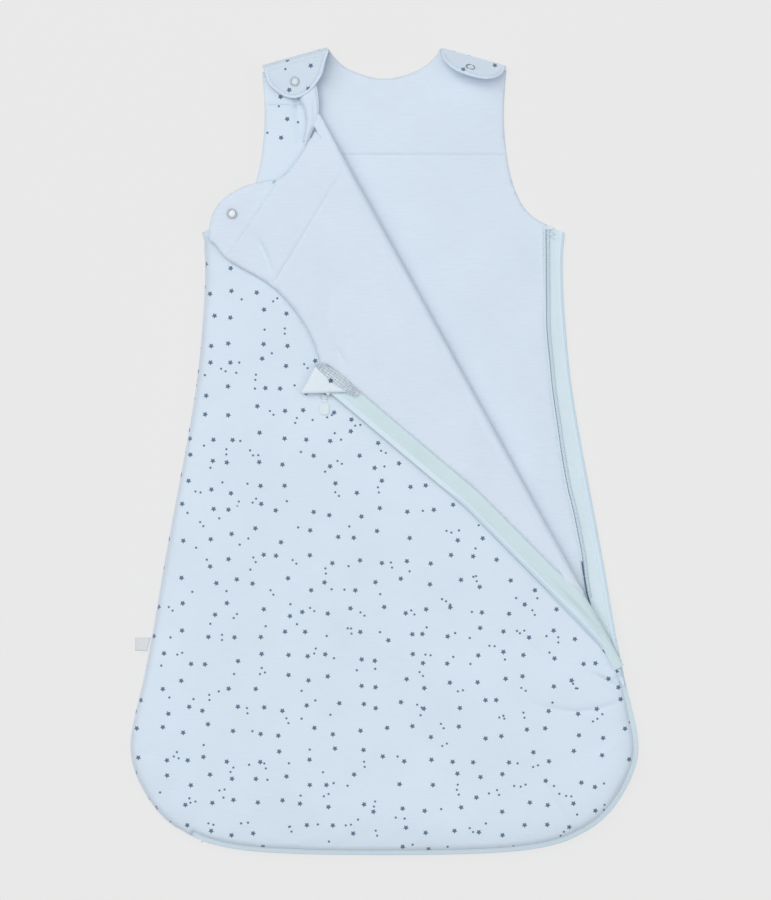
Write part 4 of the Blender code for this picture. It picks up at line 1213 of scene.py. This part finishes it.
def back_zip():
    line = shortened(evenly(ZIP_LINE, 0.003), 0.001)
    share = eased(closed_share(line))
    tilted = OPEN_SECTION + (0, BACK_MIDDLE)
    tilted[:, 1] += 0.0030 + 0.0022 * eased((tilted[:, 0] - 0.006) / 0.009)
    sections = between(tilted, SHUT_SECTION, share)
    reach = near(line[:, :2], BACK_SEAM, closed=False)[0] + 0.0012
    reach = np.where((line[:, 1] > -0.12) & (line[:, 0] > 0), reach, sections[:, 0, 0])
    sections[:, :2, 0] = reach[:, None]
    # The back tape wears the lighter copy of the twill, which paints light on it.
    made = swept("zip_tape_back_woven", at_height(line, zip_lift(line[:, 1]) * (line[:, 0] > 0)),
                 sections, [TWILL_PAINTED_LIGHT, TEETH], "bag", bands=TAPE_BANDS, sharp=70)
    for vertex in made.data.vertices:
        vertex.co.y += 0.28 * max(0.0, 0.1575 - vertex.co.x) * float(eased((vertex.co.y - 0.174) / 0.014))
    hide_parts("zip_tape_back", "zip_coil_back")

    def height(at):
        part = eased(closed_share(at))
        return (BACK_MIDDLE + 0.0037) * (1 - part) + 0.0118 * part + zip_lift(at[:, 1]) * (at[:, 0] > 0)

    teeth("zip_teeth_back", shortened(line, 0.010), height, "bag")
    flat = line[(line[:, 0] > 0) & (line[:, 1] > -0.135)]
    row = at_height(inset(flat, 0.0049), BACK_MIDDLE + 0.0036 + zip_lift(flat[:, 1]))
    threads("zip_back_stitches", running(row, *STITCH), STITCH_RADIUS, GREY_THREAD, "bag")
    seam = shortened(BACK_SEAM, 0.003, 0.012)
    top = BACK_MIDDLE + 0.0058 + zip_lift(seam[:, 1])
    edge = at_height(inset(seam, -0.0006), top)
    # A near-continuous dark line along the seam: the seam's stitching, and painted contact shadow where the lining's
    # edge meets the tape.
    threads("zip_back_seam_and_painted_shadow", running(edge, 0.0034, 0.0001), 0.00042, DARK_THREAD_AND_SHADE, "bag")
    bars = crossing_bars(at_height(seam, top + 0.0003), 0.0025, -0.0034, -0.0010, slant=0.0018)
    threads("zip_back_overlock", bars, 0.00026, THREAD, "bag")
    # Painted shadow: thick ink-coloured bars stand in for the shade in the deep gap between the lining's edge and the
    # back tape.
    gap = metres([[(171.4, -96, 0), (173.4, -110, 0)], [(173.2, -109, 0), (176.2, -126, 0)],
                  [(176, -125, 0), (180.4, -140, 0)]])
    gap[:, :, 2] = BACK_MIDDLE + 0.0062 + zip_lift(gap[:, :, 1])
    threads("zip_back_gap_painted_shadow", gap, 0.0007, INK_AND_PAINTED_SHADE, "bag")
    row = at_height(inset(seam, -0.0036), top + 0.0006)
    threads("zip_back_overlock_line", running(row, 0.0017, 0.0005), 0.00026, GREY_THREAD, "bag")
    tack("zip_top_tack", inset(BACK_SEAM[:5], -0.0058), BACK_MIDDLE + 0.0062, "bag")


def overlock(line, z, name, body, near_side, far_side):
    """Edging stitches over the edge of the tape: short slanted threads and a line of loops."""
    path = at_height(line, z)
    bars = crossing_bars(path, 0.0021, near_side, far_side, slant=0.0016)
    threads(name, bars, 0.00020, THREAD, body)
    row = inset(path, far_side) + (0, 0, 0.0002)
    threads(name + "_line", running(row, 0.0017, 0.0005), 0.00024, SEAM_THREAD, body)


def tack(name, line, z, body):
    """A short zigzag of thread."""
    path = at_height(evenly(line, 0.0022), z)
    zig = inset(path, np.where(np.arange(len(path)) % 2, -0.0026, 0.0026))
    threads(name, np.stack([zig[:-1], zig[1:]], axis=1), 0.00022, THREAD, body)


def foot_zip():
    line = evenly(ZIP_LINE, 0.003)
    line = line[(line[:, 1] < -0.180) | (line[:, 0] < 0)]
    section = SHUT_SECTION * (1, -1) + (0, 2 * SEAM_Z)
    lift = foot_lift(line[:, 1]) * (line[:, 0] > 0)
    # The foot tape wears the lighter copy of the twill, which paints light on it.
    made = swept("zip_tape_front_woven", at_height(line, lift), section[::-1], [TWILL_PAINTED_LIGHT, TEETH], "bag",
                 bands=TAPE_BANDS[::-1][1:] + TAPE_BANDS[-1:], sharp=70)
    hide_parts("zip_tape_front_lower", "zip_coil_front_lower")
    z = 2 * SEAM_Z - 0.0118
    teeth("zip_teeth_front", line, lambda at: z + foot_lift(at[:, 1]) * (at[:, 0] > 0), "bag")


COIL_EDGE = 0.005  # how far the coil reaches over the tape
WRAP_R = FOLD_R + 0.0012  # the tape goes round the outside of the fold


def flap_zip():
    line = evenly(FLAP_ZIP_LINE, 0.003)
    side = rights(line)
    direction = (FOLD_LINE[1] - FOLD_LINE[0]) / FOLD_LENGTH
    normal = np.array([direction[1], -direction[0]])
    facing = -(side @ normal)
    room = ((line - FOLD_LINE[0]) @ normal) / facing
    reach = travelled(line)
    sections = np.broadcast_to(FLAP_SECTION, (len(line), *FLAP_SECTION.shape)).copy()
    x, z = sections[:, :, 0], sections[:, :, 1]
    wide = 1.07 + 0.07 * eased(1 - reach / 0.085)
    x[:] = np.where(x > COIL_EDGE, x * wide[:, None], x)
    tip = 1 - 0.62 * eased((reach - reach[-1] + 0.030) / 0.030)
    x[:] = np.where(x > COIL_EDGE, COIL_EDGE + (x - COIL_EDGE) * tip[:, None], x)
    low_end = eased((reach - reach[-1] + 0.16) / 0.03)
    coil = x < 0.0048
    x[:] = np.where(coil, x * (1 - 0.6 * low_end[:, None]), x)
    z[:] = np.where(coil, z * (1 - 0.4 * low_end[:, None]), z)
    beyond = (x - room[:, None]) * facing[:, None]
    turned = np.clip(beyond / WRAP_R, 0, 1.75)
    over = beyond > 0
    x[:] = np.where(over, room[:, None] + WRAP_R * np.sin(turned) / facing[:, None], x)
    z -= np.where(over, (FOLD_R - 0.0006) * (1 - np.cos(turned)), 0)
    top = (FLAP_TOP - FLAP_MIDDLE + 0.0005) * eased((x - 0.006) / 0.006)
    z += top * eased(1 - (room[:, None] - 0.012) / 0.012)
    drop = 0.0028 * eased(1 - reach / 0.05)
    made = swept("zip_tape_flap_woven", at_height(line, FLAP_MIDDLE - drop), sections, [TWILL, TEETH], None,
                 bands=FLAP_BANDS, sharp=70)
    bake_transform(made)
    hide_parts("zip_tape_flap", "zip_coil_flap")

    def height(at):
        return FLAP_MIDDLE + 0.0007 - np.interp(near(at, line, closed=False)[1] * 0.003, reach, drop)

    teeth("zip_teeth_flap", shortened(line, 0.012, 0.150), height, "front_flap")
    row = shortened(line, 0.030, 0.016)
    row = at_height(inset(row, 0.0049), height(row) - 0.0001)
    threads("zip_flap_stitches", running(row, *STITCH), STITCH_RADIUS, GREY_THREAD, "front_flap")
    inner = shortened(line, 0.085, 0.030)
    overlock(inner, FLAP_MIDDLE + 0.0009, "zip_flap_overlock", "front_flap", 0.0172, 0.0186)


# ---- small pieces -------------------------------------------------------------------------------
def garage():
    """The triangle of white jersey over the zip's upper end, held by a band of stitches."""
    corners = metres([(-73, 49), (-58.4, 76), (-24, 50.7)])
    loop = rounded(evenly(np.vstack([corners, corners[:1]]), 0.0025)[:-1], 0.0025, 1)

    def upper(points, gap, place):
        return 0.0341 + 0.0009 * dome(gap, 0.003) + 0.0003 * waves(points, 0.012, 8.0)

    made = panel("garage", loop, upper, level(0.0337), [GUARD, GUARD], "front_flap", spacing=0.003, fine=0.002,
                 band=0.006, shift=(0.6, 0.2))
    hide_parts("zip_garage")
    top, end = metres([(-58.5, 76.5), (-23, 49.5)])
    along = (end - top) / np.linalg.norm(end - top)
    left = np.array([along[1], -along[0]])
    centre = evenly(np.vstack([top, end]), 0.002) + left * 0.0014
    bulge = np.sin(np.pi * np.linspace(0.06, 0.94, len(centre))) ** 0.6
    band = metres([(-5.2, 0.0), (-4.6, 0.5), (0.0, 0.9), (4.6, 0.5), (5.2, 0.0), (0.0, -0.4)])
    sections = band[None] * np.stack([bulge, np.ones(len(bulge))], -1)[:, None]
    base = swept("garage_band", at_height(centre, 0.0343), sections, GUARD, "front_flap", sharp=80)
    for k in range(9):
        offset = (-4.6 + 1.15 * k) / 1000
        row = centre + left * (offset * bulge)[:, None]
        row = row + left * 0.0003 * np.sin(np.arange(len(row)) * 1.9 + k)[:, None]
        row = at_height(row, 0.03535 - 0.0000055 * (offset * 1000) ** 2)
        dark = k % 2
        threads(f"garage_stitches_{k}", running(row, 0.0031, 0.0003), 0.00026 if dark else 0.00042,
                DARK_THREAD_AND_SHADE if dark else WHITE_THREAD, "front_flap")
    bars = crossing_bars(at_height(centre, 0.0356), 0.0024, -0.0040, -0.0008, slant=0.0026)
    threads("garage_overlock", bars, 0.00028, WHITE_THREAD, "front_flap")
    points = []
    for k in range(10):
        r = 0.0025 if k % 2 == 0 else 0.0014
        a = math.pi / 2 + k * math.pi / 5
        points.append((-0.0465 + r * math.cos(a), 0.0605 + r * math.sin(a), 0.0360))
    points += [(x, y, z - 0.0008) for x, y, z in points]
    faces = [tuple(range(10)), tuple(range(19, 9, -1))]
    faces += [(k, k + 10, (k + 1) % 10 + 10, (k + 1) % 10) for k in range(10)]
    mesh_piece("garage_star", points, faces, [INK_AND_PAINTED_SHADE], "front_flap")


def disc(name, centre, radius, surface, body):
    """A small domed disc that faces up."""
    rows = [(1.0, -0.3), (1.0, 0.0), (0.8, 0.5), (0.5, 0.85), (0.2, 1.0)]
    vertices = []
    for r, h in rows:
        for k in range(24):
            a = 2 * math.pi * k / 24
            vertices.append(Vector((r * radius * math.cos(a), r * radius * math.sin(a), h * 0.0004)) + Vector(centre))
    faces = [tuple(range(23, -1, -1)), tuple(96 + k for k in range(24))]
    for row in range(4):
        for k in range(24):
            j = (k + 1) % 24
            faces.append((row * 24 + k, row * 24 + j, (row + 1) * 24 + j, (row + 1) * 24 + k))
    return mesh_piece(name, vertices, faces, [surface], body)


def side_seam():
    """The sewn left edge, where the front and the back meet, from the armhole to the zip's end at the foot."""
    loop = lower_foot(rounded(outline_of("front_outer_shell")))
    edge = loop[(loop[:, 0] < -0.150) & (loop[:, 1] < 0.1895)]
    edge = edge[np.argsort(edge[:, 1])]
    edge = np.vstack([metres([(-160.5, -337.6)]), edge])
    edge = evenly(smooth(evenly(edge, 0.012), 5), 0.003)
    turns = np.linspace(0, 2 * math.pi, 12, endpoint=False)
    section = np.stack([0.0014 - 0.0020 * np.cos(turns), 0.0021 * np.sin(turns)], axis=-1)
    made = swept("side_seam", at_height(edge, SEAM_Z), section, PRINTED, "bag", sharp=80, shift=(0.02, 0.33))
    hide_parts("side_seam_left")
    knot = metres([((-155.6, 188.6), (-152.2, 190.6)), ((-155.4, 190.4), (-152.6, 188.0)),
                   ((-156.0, 189.4), (-152.4, 189.4))])
    bars = np.concatenate([knot, np.full((3, 2, 1), 0.0160)], axis=2)
    threads("underarm_knot", bars, 0.0009, DARK_THREAD_AND_SHADE, "bag")


def label():
    """A plain folded label in the side seam."""
    loop = metres([(-216.5, -162.5), (-203, -162.5), (-206, -174), (-216.5, -174)])
    loop = rounded(loop, 0.002, 1)

    def upper(points, gap, place):
        return 0.0126 + 0.0005 * dome(gap, 0.0015)

    made = panel("label", loop, upper, level(0.0119), [LABEL, LABEL], "bag", spacing=0.002, fine=0.0012, band=0.003,
                 shift=(0.8, 0.2))
    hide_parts("side_label")


# ---- run ----------------------------------------------------------------------------------------
BACK = back_panel()
FRONT = front_panel()
FLAP = flap_panel()
neck_line = at_height(side_line("back_neck_binding", outline_of("back_outer_shell")), BACK_MIDDLE)
neck = roll("back_neck_roll", neck_line, "bag", BOUND, reach=0.0016)
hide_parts("back_neck_binding")
fold()
neck_roll()
shoulder("left")
shoulder("right")
back_zip()
foot_zip()
flap_zip()
garage()
label()
side_seam()
disc("snap_centre_flap", (-0.132, 0.205, 0.0341), 0.0032, WHITE, "front_flap")
disc("snap_centre_left", (-0.0776, 0.3195, 0.0301), 0.0031, PALE_PLASTIC, "left_back_tab")

stitch_lines = (
    ("back_yoke_stitches", BACK, BACK_YOKE, THREAD, "bag"),
    ("flap_yoke_stitches", FLAP, YOKE_SEAM, THREAD, "front_flap"),
    ("flap_tab_stitches", FLAP, TAB_SEAM, THREAD, "front_flap"),
    ("front_tab_stitches", FRONT, FRONT_TAB, SEAM_THREAD, "bag"),
)
for name, piece, line, thread, body in stitch_lines:
    path = Surface(piece).on(evenly(shortened(line, 0.004, 0.004), 0.002), 0.00005, -1)
    path = path[path[:, 2] > 0]
    threads(name, running(path, 0.0021, 0.0003), 0.00020, thread, body)

FINISHES = {
    "printed_shell": PRINTED, "lining": LINING, "binding": BOUND, "zip_tape": TWILL, "zip_plastic": MINT,
    "white_cloth": GUARD, "snap_metal": METAL, "snap_plastic": WHITE, "wadding": GUARD,
}
SLOTS = {s["node"]: s["material_slot"] for s in frame["record"].get("subparts", [])}
for name, node in NODES.items():
    for slot in node.material_slots:
        slot.material = FINISHES[SLOTS.get(name, "lining")]


# ---- floor, light and camera --------------------------------------------------------------------
def stage():
    floor = mesh_piece(
        "floor", [(-4, -4, -0.0004), (4, -4, -0.0004), (4, 4, -0.0004), (-4, 4, -0.0004)], [(0, 1, 2, 3)], []
    )
    made = Finish("pale_floor", roughness=1.0)
    made.shader.inputs["Base Color"].default_value = (0.10, 0.10, 0.10, 1)
    made.shader.inputs["Specular IOR Level"].default_value = 0.0
    made.shader.inputs["Emission Color"].default_value = (1, 1, 1, 1)
    made.shader.inputs["Emission Strength"].default_value = 0.717
    floor.data.materials.append(made.material)
    world = bpy.data.worlds.new("studio")
    bpy.context.scene.world = world
    world.use_nodes = True
    back = world.node_tree.nodes["Background"]
    back.inputs["Color"].default_value = (0.90, 0.98, 1.10, 1)
    back.inputs["Strength"].default_value = 0.36
    for name, kind, place, size, power, colour in (
        ("key", "AREA", (-1.6, 1.4, 3.0), 2.2, 26.0, (1.0, 1.0, 1.0)),
        ("fill", "AREA", (1.8, 0.2, 3.0), 2.4, 16.0, (1.0, 1.0, 1.0)),
        ("overhead", "SUN", (-0.35, 0.35, 3.0), math.radians(34), 1.18, (1.08, 1.02, 0.92)),
    ):
        light = bpy.data.lights.new(name, kind)
        light.energy = power
        light.color = colour
        if kind == "SUN":
            light.angle = size
        else:
            light.shape = "DISK"
            light.size = size
        lamp = bpy.data.objects.new(name, light)
        lamp.location = place
        lamp.rotation_euler = (-Vector(place)).to_track_quat("-Z", "Y").to_euler()
        bpy.context.scene.collection.objects.link(lamp)
    camera = bpy.data.cameras.new("camera")
    distance, tall = 6.0, 0.780
    camera.sensor_width = 36.0
    camera.lens = 36.0 * distance / tall
    camera.clip_end = 50
    holder = bpy.data.objects.new("camera", camera)
    holder.location = (0.0009, 0.0004, distance + FRONT_TOP)
    bpy.context.scene.collection.objects.link(holder)
    bpy.context.scene.camera = holder
    bpy.context.scene.view_settings.view_transform = "Standard"
    bpy.context.scene.view_settings.look = "None"


stage()
